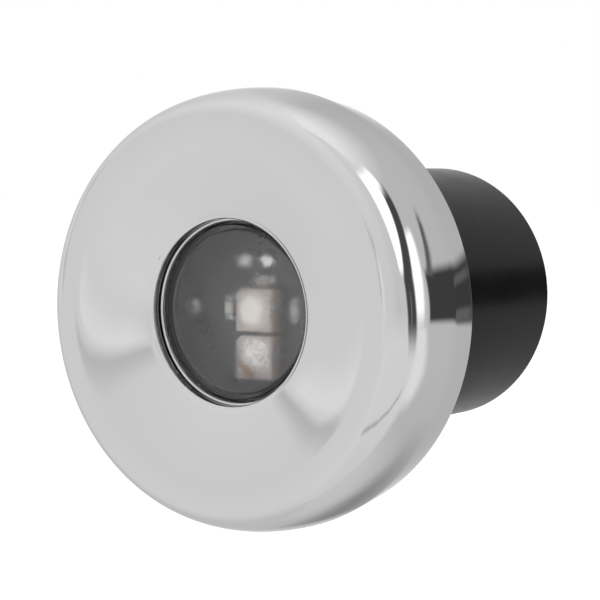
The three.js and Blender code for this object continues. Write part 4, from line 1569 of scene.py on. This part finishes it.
@dataclass
class HousingMoulding:
    """The black moulding with its flange, and the gasket and grip ring on it."""

    barrel_radius: float = 17.1
    barrel_bore: float = 15.3
    barrel_length: float = 36.65
    wall_bite: float = 0.9
    end_edge: float = 0.4
    mouth_edge: float = 0.25
    collar_radius: float = 16.9
    collar_front: float = -11.5
    collar_bore: float = 15.2
    collar_root: float = 0.5
    flange_radius: float = 24.3
    flange_front: float = -4.7
    flange_back: float = -1.3
    flange_edge: float = 0.3
    flange_root: float = 0.15
    groove_radius: float = 23.1
    groove_half: float = 0.9
    groove_edge: float = 0.12
    groove_root: float = 0.2
    ledge_bore: float = 13.1
    ledge_front: float = -7.9
    ledge_back: float = -2.9
    ledge_edge: float = 0.2
    ledge_root: float = 0.4
    fillet: float = 0.6
    rib_thickness: float = 1.2
    rib_height: float = 4.0
    rib_reach: float = 4.6
    rib_angles: tuple[float, ...] = (30, 90, 150, 210, 270, 330)
    rib_edge: float = 0.15
    slot_circle: float = 20.0
    slot_sides: Point = (0.0, 180.0)
    slot_width: float = 3.4
    slot_arc: float = 26.0
    recess_width: float = 5.2
    recess_depth: float = 1.2
    rail_reach: float = 2.2
    rail_front: float = 11.0
    rail_back: float = 27.0
    rail_thickness: float = 1.0
    rail_edge: float = 0.12
    rail_bottoms: tuple[float, ...] = (-5.3, -2.1)
    boss_circle: float = 11.0
    boss_radius: float = 2.2
    boss_front: float = 28.05
    boss_back: float = 33.05
    boss_angles: tuple[float, ...] = (90, 210, 330)
    screw_hole: float = 1.3
    screw_bite: float = 4.3
    seat: float = 0.3
    gasket_thickness: float = 1.0
    gasket_inset: float = 0.5
    gasket_edges: Point = (0.1, 0.3)
    grip_circle: float = 24.0
    grip_section: float = 0.6
    grip_line: float = 0.02
    grip_steps: int = 28
    turn_steps: int = 160

    def section(self) -> list[Point]:
        """The moulding's turned section, with every corner rounded.

        Returns:
            Its points, from the collar's front round the outside and back inside.
        """
        middle = (self.flange_front + self.flange_back) / 2
        return rounded(
            [
                (self.collar_radius, self.collar_front, self.mouth_edge),
                (self.collar_radius, self.flange_front, self.collar_root),
                (self.flange_radius, self.flange_front, self.flange_edge),
                (self.flange_radius, middle - self.groove_half, self.groove_edge),
                (self.groove_radius, middle - self.groove_half, self.groove_root),
                (self.groove_radius, middle + self.groove_half, self.groove_root),
                (self.flange_radius, middle + self.groove_half, self.groove_edge),
                (self.flange_radius, self.flange_back, self.flange_edge),
                (self.barrel_radius, self.flange_back, self.flange_root),
                (self.barrel_radius, self.barrel_length, self.end_edge),
                (self.barrel_bore, self.barrel_length, self.mouth_edge),
                (self.barrel_bore, self.ledge_back, self.ledge_root),
                (self.ledge_bore, self.ledge_back, self.ledge_edge),
                (self.ledge_bore, self.ledge_front, self.fillet),
                (self.collar_bore, self.ledge_front, self.ledge_edge),
                (self.collar_bore, self.collar_front, self.mouth_edge),
            ]
        )

    def rib(self) -> Piece:
        """One three-cornered rib on +X: a block whose front slopes from the collar out to the flange.

        Returns:
            The rib.
        """
        front = self.flange_front - self.rib_height
        half = self.rib_thickness / 2
        inner, outer = self.collar_radius - self.seat, self.collar_radius + self.rib_reach
        rib = block("rib", (inner, front, -half), (outer, self.flange_front + self.seat, half))
        with editing(rib):
            select_vertices(rib, lambda place: place.x > outer - self.seat and place.y < front + self.seat)
            bpy.ops.transform.translate(value=(0, (self.rib_height - self.seat) * MM, 0))
        return bevelled(rib, self.rib_edge, 2)

    def rails(self) -> list[Piece]:
        """Two pairs of rails that hold the driver board by its edges.

        Returns:
            The four rails.
        """
        low, high = self.barrel_bore - self.rail_reach, self.barrel_bore + self.wall_bite
        rails = []
        for bottom in self.rail_bottoms:
            for start, end in ((low, high), (-high, -low)):
                corner = (end, self.rail_back, bottom + self.rail_thickness)
                rail = block("rail", (start, self.rail_front, bottom), corner)
                rails.append(bevelled(rail, self.rail_edge, 2))
        return rails

    def boss(self, degrees: float) -> Piece:
        """One screw boss with its web to the barrel's wall.

        Args:
            degrees: Its angle from +X towards +Z.

        Returns:
            The boss.
        """
        front, back, middle = self.boss_front, self.boss_back, self.boss_circle
        boss = rod("boss", self.boss_radius, front, back, middle, sides=HOLE_SIDES)
        half = self.boss_radius / 2
        united(boss, block("web", (middle, front, -half), (self.barrel_bore + self.wall_bite, back, half)))
        return spun(bevelled(boss, self.rib_edge, 2, ROUND_SIDES), degrees)

    def build(self) -> None:
        """Makes the moulding, the gasket and the grip ring."""
        self.build_moulding()
        self.build_gasket()
        self.build_grip_ring()

    def build_moulding(self) -> None:
        """Makes the moulding: the turned body, what stands on it, and its slots and holes."""
        body = turned("housing_moulding", self.section(), self.turn_steps)
        rib = self.rib()
        for angle in self.rib_angles:
            united(body, spun(copied(rib, "rib_copy"), angle))
        bpy.data.objects.remove(rib)
        united(body, *self.rails())
        bottom, top = self.boss_back - self.screw_bite, self.boss_back + OVERRUN
        for angle in self.boss_angles:
            united(body, self.boss(angle))
            cut(body, rod("hole", self.screw_hole, bottom, top, *on_circle(self.boss_circle, angle)))
        front, floor = self.flange_front - OVERRUN, self.flange_front + self.recess_depth
        cuts = ((self.slot_width, self.flange_back + OVERRUN), (self.recess_width, floor))
        for side in self.slot_sides:
            for width, back in cuts:
                cut(body, *arc_slot(side, self.slot_circle, width, self.slot_arc, front, back))
        deliver(dress(smoothed(body), SATIN_BLACK), "housing")

    def build_gasket(self) -> None:
        """Makes the foam gasket behind the flange."""
        inner, outer = self.barrel_radius + self.seat, self.flange_radius - self.gasket_inset
        front = -self.gasket_thickness
        bore_edge, rim_edge = self.gasket_edges
        corners = [(inner, front, bore_edge), (outer, front, rim_edge)]
        corners += [(outer, 0.0, rim_edge), (inner, 0.0, bore_edge)]
        gasket = turned("flange_gasket_foam", rounded(corners))
        for side in self.slot_sides:
            place = (side, self.slot_circle, self.slot_width, self.slot_arc)
            cut(gasket, *arc_slot(*place, front - OVERRUN, OVERRUN))
        deliver(dress(smoothed(gasket), FOAM), "flange_gasket")

    def build_grip_ring(self) -> None:
        """Makes the round rubber ring in the flange's groove, with its moulding line."""
        middle = (self.flange_front + self.flange_back) / 2
        section = round_section(self.grip_circle, middle, self.grip_section, self.grip_steps, self.grip_line)
        ring = turned("cover_grip_ring_rubber", section, self.turn_steps)
        deliver(dress(smoothed(ring, SOFT, False), RUBBER), "cover_grip_ring")


@dataclass
class LensStack:
    """What lies behind the window: the ring that holds the lens, the lens, its seal and the dark well.

    A profile has the radius from the axis, the y and the rounding radius of each corner.
    """

    ring: Profile = ((10.9, -10.6, 0.1), (10.9, -11.5, 0.3), (14.9, -11.5, 0.1), (14.9, -10.6, 0.1))
    spanner_circle: float = 12.9
    spanner_radius: float = 0.6
    spanner_reach: Point = (-12.5, -9.6)
    lens: Profile = (
        *((10.0, -11.3, 0.0), (10.6, -11.3, 0.35), (10.6, -10.3, 0.2), (14.9, -10.3, 0.12)),
        *((14.9, -9.3, 0.12), (9.9, -9.3, 0.15), (9.9, -10.4, 0.3), (0.0, -10.4, 0.0)),
    )
    crown: float = 0.12
    crown_radius: float = 10.1
    crown_steps: int = 8
    seal: Profile = ((13.4, -9.0, 0.25), (14.9, -9.0, 0.25), (14.9, -8.2, 0.25), (13.4, -8.2, 0.25))
    well: Profile = (
        *((11.4, -9.0, 0.15), (12.8, -9.0, 0.15), (12.8, -5.5, 0.1)),
        *((12.1, -5.5, 0.1), (12.1, -8.4, 0.2), (11.4, -8.4, 0.15)),
    )
    turn_steps: int = 144

    def lens_section(self) -> list[Point]:
        """The lens's section: a flange, and a boss with a slightly crowned front and a hollow back.

        Returns:
            Its points. The profile's first corner only gives the next one's rounding its direction.
        """
        front = self.lens[0][1]
        points = []
        for step in range(self.crown_steps + 1):
            share = step / self.crown_steps
            points.append((self.crown_radius * share, front - self.crown * (1 - share * share)))
        return [*points, *rounded(self.lens)[1:]]

    def build(self) -> None:
        """Makes the four pieces."""
        ring = turned("lens_ring_bright", rounded(self.ring), self.turn_steps)
        for x in (-self.spanner_circle, self.spanner_circle):
            cut(ring, rod("hole", self.spanner_radius, *self.spanner_reach, x))
        deliver(dress(smoothed(ring), BRIGHT_RING), "lens_retaining_ring")
        lens = turned("lens_clear", self.lens_section(), self.turn_steps, closed=False)
        deliver(dress(smoothed(lens), CLEAR_LENS), "lens")
        seal = turned("lens_seal_rubber", rounded(self.seal), SMALL_STEPS)
        deliver(dress(smoothed(seal), RUBBER), "lens_seal")
        well = turned("light_well_dark", rounded(self.well), self.turn_steps)
        deliver(dress(smoothed(well), WELL_BLACK), "light_well")


@dataclass(frozen=True)
class PanHeadScrew:
    """A pan-head screw with a cross recess. Its seat is at y = 0 and its shank goes along +Y.

    The shares are of the head's radius and height and of the shank's radius.
    """

    head: float
    height: float
    shank: float
    length: float
    cross: float
    dome_steps: int = 8
    dome_fullness: float = 0.8
    side_share: float = 0.35
    seat_edge: float = 0.08
    pitch_share: float = 0.5
    root_share: float = 0.8
    first_turn_share: float = 0.4
    tip_share: float = 0.6
    cross_reach: float = 0.58
    cross_depth: float = 0.6

    def section(self) -> list[Point]:
        """The screw's section, with its dome and its thread.

        Returns:
            Its points, from the head's middle to the tip.
        """
        root = self.shank * self.root_share
        points = [(0.0, -self.height)]
        for step in range(1, self.dome_steps + 1):
            angle = QUARTER_TURN * step / self.dome_steps
            rise = self.side_share + (1 - self.side_share) * math.cos(angle)
            points.append((self.head * math.sin(angle) ** self.dome_fullness, -self.height * rise))
        points += [(self.head, -self.seat_edge), (self.head - self.seat_edge, 0.0), (root, 0.0)]
        pitch = self.shank * self.pitch_share
        for index in range(int((self.length - self.shank) / pitch)):
            start = self.shank * self.first_turn_share + index * pitch
            points += [(root, start), (self.shank, start + pitch / 2)]
        return [*points, (root, self.length - self.shank * self.tip_share), (0.0, self.length)]

    def build(self, name: str, finish: Finish) -> Piece:
        """Makes the screw.

        Args:
            name: Its name.
            finish: Its finish.

        Returns:
            The dressed screw.
        """
        screw = turned(name, self.section(), SCREW_STEPS, closed=False)
        reach, half = self.head * self.cross_reach, self.cross / 2
        floor = -self.height + self.cross_depth * self.height
        for turn in (0, 90):
            bar = block("cross", (-reach, -self.height - OVERRUN, -half), (reach, floor, half))
            cut(screw, spun(bar, turn))
        return dress(smoothed(screw, CRISP), finish)


@dataclass
class LedBoard:
    """The board behind the lens, with the LEDs, resistors, screws and leads on it.

    A leg, a chip or a cap has its length, height and width. A place of a bead is its x and a seed, and lumps
    have a scale, a shift for each seed and a height. A chip's place is its x, z and turn.
    """

    radius: float = 12.8
    front: float = -5.2
    back: float = -3.8
    edge: float = 0.12
    notch_radius: float = 1.3
    screw_offset: float = 10.2
    screw_hole: float = 1.05
    screw_sunk: float = 0.3
    screw: PanHeadScrew = PanHeadScrew(1.3, 0.9, 0.75, 5.1, 0.35)
    lead_sides: Point = (-3.0, 0.4)
    lead_hole: float = 0.9
    lead_radius: float = 0.6
    lead_start: float = 0.35
    lead_height: float = 6.0
    lead_seeds: tuple[int, int] = (2, 7)
    lead_route: tuple[Point, ...] = ((-2.6, 6.0), (7.8, 6.0), (11.6, 4.4), (13.2, 1.95), (13.2, -2.1))
    joint_reach: float = 1.2
    joint_height: float = 0.7
    joint_shift: float = 0.35
    seat: float = 0.1
    sunk: float = 0.05
    led_size: float = 5.2
    led_height: float = 2.15
    led_corner: float = 0.7
    led_edge: float = 0.16
    led_shift: float = 0.2
    led_places: tuple[tuple[str, float], ...] = (("upper", 0.0), ("lower", -5.7))
    led_rows: Corner = (-1.6, 0.0, 1.6)
    cup_radius: float = 2.36
    cup_depth: float = 0.3
    cup_draft: float = 0.06
    cup_steps: int = 64
    gel_overlap: float = 0.03
    gel_lift: float = 0.01
    gel_steps: int = 12
    gel_crowns: tuple[float, float] = (0.45, 0.95)
    leg: Corner = (0.25, 0.5, 0.9)
    leg_reach: float = 0.05
    leg_edge: float = 0.12
    pad_edge: float = 0.03
    led_pad: Point = (0.6, 0.8)
    led_pad_side: float = 2.5
    chip_pad: Point = (0.7, 1.4)
    chip_pad_side: float = 1.15
    side_pads: float = 4.85
    top_pads: Point = (0.3, 3.5)
    chip: Corner = (1.6, 0.5, 1.16)
    chip_edge: float = 0.06
    cap: Corner = (0.4, 0.6, 1.32)
    cap_reach: float = 1.0
    bead_places: tuple[tuple[float, int], ...] = ((-1.1, 3), (1.1, 5))
    bead_reach: float = 0.42
    bead_height: float = 0.3
    large_lumps: Corner = (1.7, 3.1, 0.28)
    small_lumps: Corner = (4.5, 2.3, 0.1)
    chip_places: tuple[tuple[str, float, float, float], ...] = (
        ("left", -4.7, 0.0, 90.0),
        ("right", 4.95, 0.0, 90.0),
        ("top", 0.3, 3.5, 0.0),
    )

    def build(self) -> None:
        """Makes the board and all that stands on it."""
        self.build_board()
        self.build_leds()
        self.build_resistors()
        self.build_screws()
        self.build_leads()

    def pad(self, x: float, z: float, width: float, height: float) -> Piece:
        """A thin tinned pad on the board's face.

        Args:
            x: Its middle's x.
            z: Its middle's z.
            width: Its size along x.
            height: Its size along z.

        Returns:
            The dressed pad.
        """
        low = (x - width / 2, self.front - self.sunk, z - height / 2)
        high = (x + width / 2, self.front + self.sunk, z + height / 2)
        return dress(bevelled(block("pad", low, high), self.pad_edge, 2), TINNED)

    def pads(self) -> list[Piece]:
        """The pads beside the LEDs and the resistors.

        Returns:
            The dressed pads.
        """
        width, height = self.chip_pad
        x, z = self.top_pads
        pads = []
        for _, middle in self.led_places:
            for side in (-self.led_pad_side, self.led_pad_side):
                for row in self.led_rows:
                    pads.append(self.pad(side + self.led_shift, middle + row, *self.led_pad))
        for side in (-self.chip_pad_side, self.chip_pad_side):
            pads.append(self.pad(x + side, z, width, height))
        for side in (-self.side_pads, self.side_pads):
            for end in (-self.chip_pad_side, self.chip_pad_side):
                pads.append(self.pad(side, end, height, width))
        return pads

    def build_board(self) -> None:
        """Makes the board: a disc with notches and holes, and the tinned pads beside its parts."""
        rim = [(self.radius, y, self.edge) for y in (self.back, self.front)]
        section = [*rounded([(0.0, self.back, 0.0), *rim]), (0.0, self.front)]
        board = turned("led_board_lacquered", section, closed=False)
        near, far = self.front - OVERRUN, self.back + OVERRUN
        holes = [(self.notch_radius, 0.0, z) for z in (-self.radius, self.radius)]
        holes += [(self.screw_hole, x, 0.0) for x in (-self.screw_offset, self.screw_offset)]
        holes += [(self.lead_hole, x, self.lead_height) for x in self.lead_sides]
        for radius, x, z in holes:
            cut(board, rod("hole", radius, near, far, x, z, HOLE_SIDES))
        dress(smoothed(board), DARK_BOARD)
        deliver(gathered(board, *self.pads()), "led_board")

    def cup(self) -> Piece:
        """The cutter for an LED's round cup, with slightly drafted sides.

        Returns:
            The cutter.
        """
        front = -self.led_height
        section = [
            (0.0, front - OVERRUN),
            (self.cup_radius, front - OVERRUN),
            (self.cup_radius, front),
            (self.cup_radius - self.cup_draft, front + self.cup_depth),
            (0.0, front + self.cup_depth),
        ]
        return turned("cup", section, self.cup_steps, closed=False)

    def led_body(self) -> Piece:
        """One LED package about its own centre: cut corner, round cup, and solder legs at its sides.

        Returns:
            The dressed package.
        """
        half = self.led_size / 2
        body = block("led", (-half, -self.led_height, -half), (half, 0.0, half))
        with editing(body):
            off = (half - self.led_corner / 2) * MM
            plane = {"plane_co": (-off, 0, off), "plane_no": (-1, 0, 1)}
            bpy.ops.mesh.bisect(use_fill=True, clear_outer=True, **plane)
        bevelled(body, self.led_edge)
        dress(smoothed(cut(body, self.cup())), LED_WHITE)
        depth, height, width = self.leg
        outer, inner = half + self.leg_reach, half + self.leg_reach - depth
        legs = []
        for start, end in ((-outer, -inner), (inner, outer)):
            for row in self.led_rows:
                leg = block("leg", (start, -height, row - width / 2), (end, 0.0, row + width / 2))
                legs.append(dress(smoothed(bevelled(leg, self.leg_edge)), TINNED))
        return gathered(body, *legs)

    def gel(self, name: str, crown: float) -> Piece:
        """The gel that fills a cup: a disc with a crowned front.

        Args:
            name: Its name.
            crown: How far its middle stands out.

        Returns:
            The gel, about its LED's own centre.
        """
        back = self.cup_depth - self.led_height
        front = -self.led_height - self.gel_lift
        section = []
        for step in range(self.gel_steps + 1):
            share = step / self.gel_steps
            radius = (self.cup_radius + self.gel_overlap) * share
            section.append((radius, front - crown * (1 - share * share)))
        section += [(self.cup_radius - self.cup_draft, back), (0.0, back)]
        return turned(name, section, self.cup_steps, closed=False)

    def build_leds(self) -> None:
        """Makes the LED packages and the gel in their cups."""
        package = self.led_body()
        for (name, z), crown, finish in zip(self.led_places, self.gel_crowns, (GEL_UPPER, GEL_LOWER)):
            place = {"x": self.led_shift, "y": self.front - self.seat, "z": z}
            body = moved(copied(package, f"led_body_{name}"), **place)
            deliver(body, f"led_package_{name}")
            fill = smoothed(moved(self.gel(f"led_gel_{name}", crown), **place), SOFT, False)
            deliver(dress(fill, finish), f"led_phosphor_{name}")
        bpy.data.objects.remove(package)

    def resistor(self) -> Piece:
        """One chip resistor about its own centre: a ceramic block with a tinned cap at each end.

        Returns:
            The dressed resistor.
        """
        length, height, width = self.chip
        body = block("resistor", (-length / 2, -height, -width / 2), (length / 2, 0.0, width / 2))
        dress(smoothed(bevelled(body, self.chip_edge, 2)), RESISTOR_PALE)
        length, height, width = self.cap
        outer, inner = self.cap_reach, self.cap_reach - length
        caps = []
        for start, end in ((-outer, -inner), (inner, outer)):
            cap = block("cap", (start, -height, -width / 2), (end, 0.0, width / 2))
            caps.append(dress(smoothed(bevelled(cap, self.leg_edge)), TINNED))
        for x, seed in self.bead_places:
            caps.append(self.solder_bead(x, 0.0, self.bead_reach, self.bead_height, seed))
        return gathered(body, *caps)

    def solder_bead(self, x: float, z: float, radius: float, height: float, seed: int) -> Piece:
        """A lumpy bead of solder that sits on y = 0 and bulges towards the front.

        Args:
            x: Its middle's x.
            z: Its middle's z.
            radius: Its reach on the board.
            height: How far it bulges.
            seed: Picks its lumps.

        Returns:
            The dressed bead.
        """
        deselect_all()
        bpy.ops.mesh.primitive_ico_sphere_add(subdivisions=4, radius=MM)
        bead = bpy.context.object
        bead.name = "solder"
        with editing(bead):
            bpy.ops.mesh.bisect(plane_co=(0, 0, 0), plane_no=(0, 1, 0), use_fill=True, clear_outer=True)
        scale, shift, rise = self.large_lumps
        small_scale, small_shift, small_rise = self.small_lumps
        for vertex in bead.data.vertices:
            way = vertex.co / MM
            lump = noise.noise(way * scale + Vector((seed * shift, 0, seed))) * rise
            lump += noise.noise(way * small_scale + Vector((0, seed * small_shift, 0))) * small_rise
            scaled = Vector((way.x * radius, way.y * height, way.z * radius)) * (1 + lump)
            vertex.co = (scaled + Vector((x, 0, z))) * MM
        select_only(bead)
        bpy.ops.object.shade_smooth()
        return dress(bead, SOLDER)

    def build_resistors(self) -> None:
        """Makes the three chip resistors."""
        pattern = self.resistor()
        for name, x, z, turn in self.chip_places:
            part = spun(copied(pattern, f"chip_resistor_{name}_body"), turn)
            moved(part, x, self.front - self.seat, z)
            deliver(part, f"chip_resistor_{name}")
        bpy.data.objects.remove(pattern)

    def build_screws(self) -> None:
        """Makes the two small screws that hold the board."""
        for name, x in (("left", -self.screw_offset), ("right", self.screw_offset)):
            screw = self.screw.build(f"board_screw_{name}_steel", DARK_SCREW)
            moved(screw, x, self.front - self.screw_sunk)
            deliver(screw, f"board_screw_{name}")

    def build_leads(self) -> None:
        """Makes the two leads, each with its solder joint on the board's face."""
        kinds = (("red", RED_WIRE), ("black", BLACK_WIRE))
        for (name, finish), x, seed in zip(kinds, self.lead_sides, self.lead_seeds):
            route = [(self.front - self.lead_start, self.lead_height), *self.lead_route]
            lead = swept_tube(f"{name}_lead_wire", [(x, y, z) for y, z in route], self.lead_radius)
            dress(lead, finish)
            place = (x + self.joint_shift, self.lead_height)
            joint = self.solder_bead(*place, self.joint_reach, self.joint_height, seed)
            moved(joint, y=self.front - self.sunk)
            deliver(gathered(lead, joint), f"{name}_lead")


@dataclass
class RearEnd:
    """The cap that closes the barrel, with its seal, screws and cable gland.

    A profile has the radius from the axis, the y and the rounding radius of each corner.
    """

    front: float = 33.35
    back: float = 36.35
    cap: Profile = (
        *((3.5, 33.35, 0.1), (15.0, 33.35, 0.3), (15.0, 34.0, 0.1), (13.4, 34.0, 0.15)),
        *((13.4, 35.7, 0.15), (15.0, 35.7, 0.1), (15.0, 36.35, 0.3), (5.4, 36.35, 0.4)),
    )
    stub: Profile = ((5.4, 41.35, 0.35), (4.1, 41.35, 0.15), (4.1, 34.25, 0.1), (3.5, 34.25, 0.1))
    corner_steps: int = 4
    seal_circle: float = 14.4
    seal_section: float = 0.7
    seal_steps: int = 24
    thread_radius: float = 5.4
    thread_start: float = 0.8
    thread_pitch: float = 1.0
    thread_depth: float = 0.35
    thread_slope: float = 0.45
    thread_turns: int = 4
    screw: PanHeadScrew = PanHeadScrew(1.9, 1.3, 1.0, 6.0, 0.45)
    screw_circle: float = 11.0
    screw_hole: float = 1.3
    screw_room: float = 0.3
    screw_angles: tuple[float, ...] = (90, 210, 330)
    grommet: Profile = (
        *((3.2, 34.55, 0.1), (3.8, 34.55, 0.1), (3.8, 41.65, 0.15)),
        *((5.2, 41.65, 0.2), (5.2, 42.65, 0.25), (3.2, 42.65, 0.25)),
    )
    nut_corner: float = 8.3
    nut_front: float = 37.55
    nut_back: float = 44.35
    nut_edge: float = 0.5
    nut_envelope: Profile = (
        *((0.0, 37.55, 0.0), (7.6, 37.55, 0.2), (8.3, 38.05, 0.2)),
        *((8.3, 42.31, 0.6), (6.7, 44.35, 0.5), (0.0, 44.35, 0.0)),
    )
    nut_bore: tuple[Point, ...] = (
        *((0.0, 36.55), (5.7, 36.55), (5.7, 42.95), (3.5, 42.95)),
        *((3.5, 44.05), (3.9, 44.45), (3.9, 45.35), (0.0, 45.35)),
    )

    def build(self) -> None:
        """Makes the cap, the seal, the screws, the grommet and the nut."""
        self.build_cap()
        self.build_seal()
        self.build_screws()
        self.build_grommet()
        self.build_nut()

    def cap_section(self) -> list[Point]:
        """The cap's section, with its seal groove and the stub with its thread.

        Returns:
            Its points.
        """
        thread = []
        for index in range(self.thread_turns):
            y = self.back + self.thread_start + index * self.thread_pitch
            root = y + self.thread_pitch * self.thread_slope
            thread += [(self.thread_radius, y, 0.0), (self.thread_radius - self.thread_depth, root, 0.0)]
        return rounded([*self.cap, *thread, *self.stub], self.corner_steps)

    def build_cap(self) -> None:
        """Makes the cap, with the screws' holes and recesses."""
        cap = turned("rear_cap_moulding", self.cap_section())
        seat = self.back - self.screw.height - self.screw_room
        recess = self.screw.head + self.screw_room
        for angle in self.screw_angles:
            x, z = on_circle(self.screw_circle, angle)
            cut(cap, rod("hole", self.screw_hole, self.front - OVERRUN, self.back, x, z))
            cut(cap, rod("recess", recess, seat, self.back + OVERRUN, x, z, SCREW_STEPS))
        deliver(dress(smoothed(cap), SATIN_BLACK), "rear_cap")

    def build_seal(self) -> None:
        """Makes the round rubber seal in the cap's groove."""
        middle = (self.front + self.back) / 2
        section = round_section(self.seal_circle, middle, self.seal_section, self.seal_steps)
        ring = turned("rear_cap_seal_rubber", section)
        deliver(dress(smoothed(ring, SOFT, False), RUBBER), "rear_cap_seal")

    def build_screws(self) -> None:
        """Makes the three screws, with their heads to the rear."""
        for index, angle in enumerate(self.screw_angles, 1):
            screw = self.screw.build(f"cap_screw_{index}_steel", STEEL_SCREW)
            screw.rotation_euler = (0, 0, math.pi)
            x, z = on_circle(self.screw_circle, angle)
            moved(seated(screw), x, self.back - self.screw.height, z)
            deliver(screw, f"cap_screw_{index}")

    def build_grommet(self) -> None:
        """Makes the grommet that grips the cable in the stub."""
        grommet = turned("cable_grommet_rubber", rounded(self.grommet), SMALL_STEPS)
        deliver(dress(smoothed(grommet), RUBBER), "cable_grommet")

    def build_nut(self) -> None:
        """Makes the gland's nut: a hexagon turned down at both ends, coned towards its end wall."""
        nut = rod("gland_nut_moulding", self.nut_corner, self.nut_front, self.nut_back, sides=6)
        bevelled(nut, self.nut_edge, 4, ROUND_SIDES)
        met(nut, [turned("envelope", rounded(self.nut_envelope), closed=False)], Meeting.KEEP)
        cut(nut, turned("bore", self.nut_bore, SMALL_STEPS, closed=False))
        deliver(dress(smoothed(nut), SATIN_BLACK), "gland_nut")


@dataclass
class CarriedParts:
    """The CAD nodes inside the barrel that stay as they are, with finishes of their own."""

    finishes: tuple[tuple[str, Finish], ...] = (
        ("thermal_pad", GREY_PAD),
        ("heat_sink", SINK_ALUMINIUM),
        ("driver_board", GREEN_BOARD),
        ("smoothing_capacitor", CAPACITOR_SLEEVE),
        ("inductor", FERRITE),
        ("varistor", VARISTOR_BLUE),
        ("bridge_rectifier", BLACK_PART),
        ("driver_chip", BLACK_PART),
        ("terminal_block", TERMINAL_GREEN),
    )

    def build(self, nodes: dict[str, Piece]) -> None:
        """Gives each node its finish.

        Args:
            nodes: The frame's objects by their nodes' names.
        """
        for name, finish in self.finishes:
            node = nodes[name]
            if not node.material_slots:
                node.data.materials.append(None)
            for slot in node.material_slots:
                slot.material = finish.material()
            log.info("%s: CAD node in %s", name, finish.name)


def main() -> None:
    """Builds the studio and the light."""
    logging.basicConfig(level=logging.INFO, format="%(relativeCreated)d ms  %(message)s")
    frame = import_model()
    bpy.context.scene.view_settings.view_transform = "Standard"
    Studio().build()
    CoverShell().build()
    HousingMoulding().build()
    LensStack().build()
    LedBoard().build()
    RearEnd().build()
    CarriedParts().build(frame["nodes"])


if __name__ == "__main__":
    main()
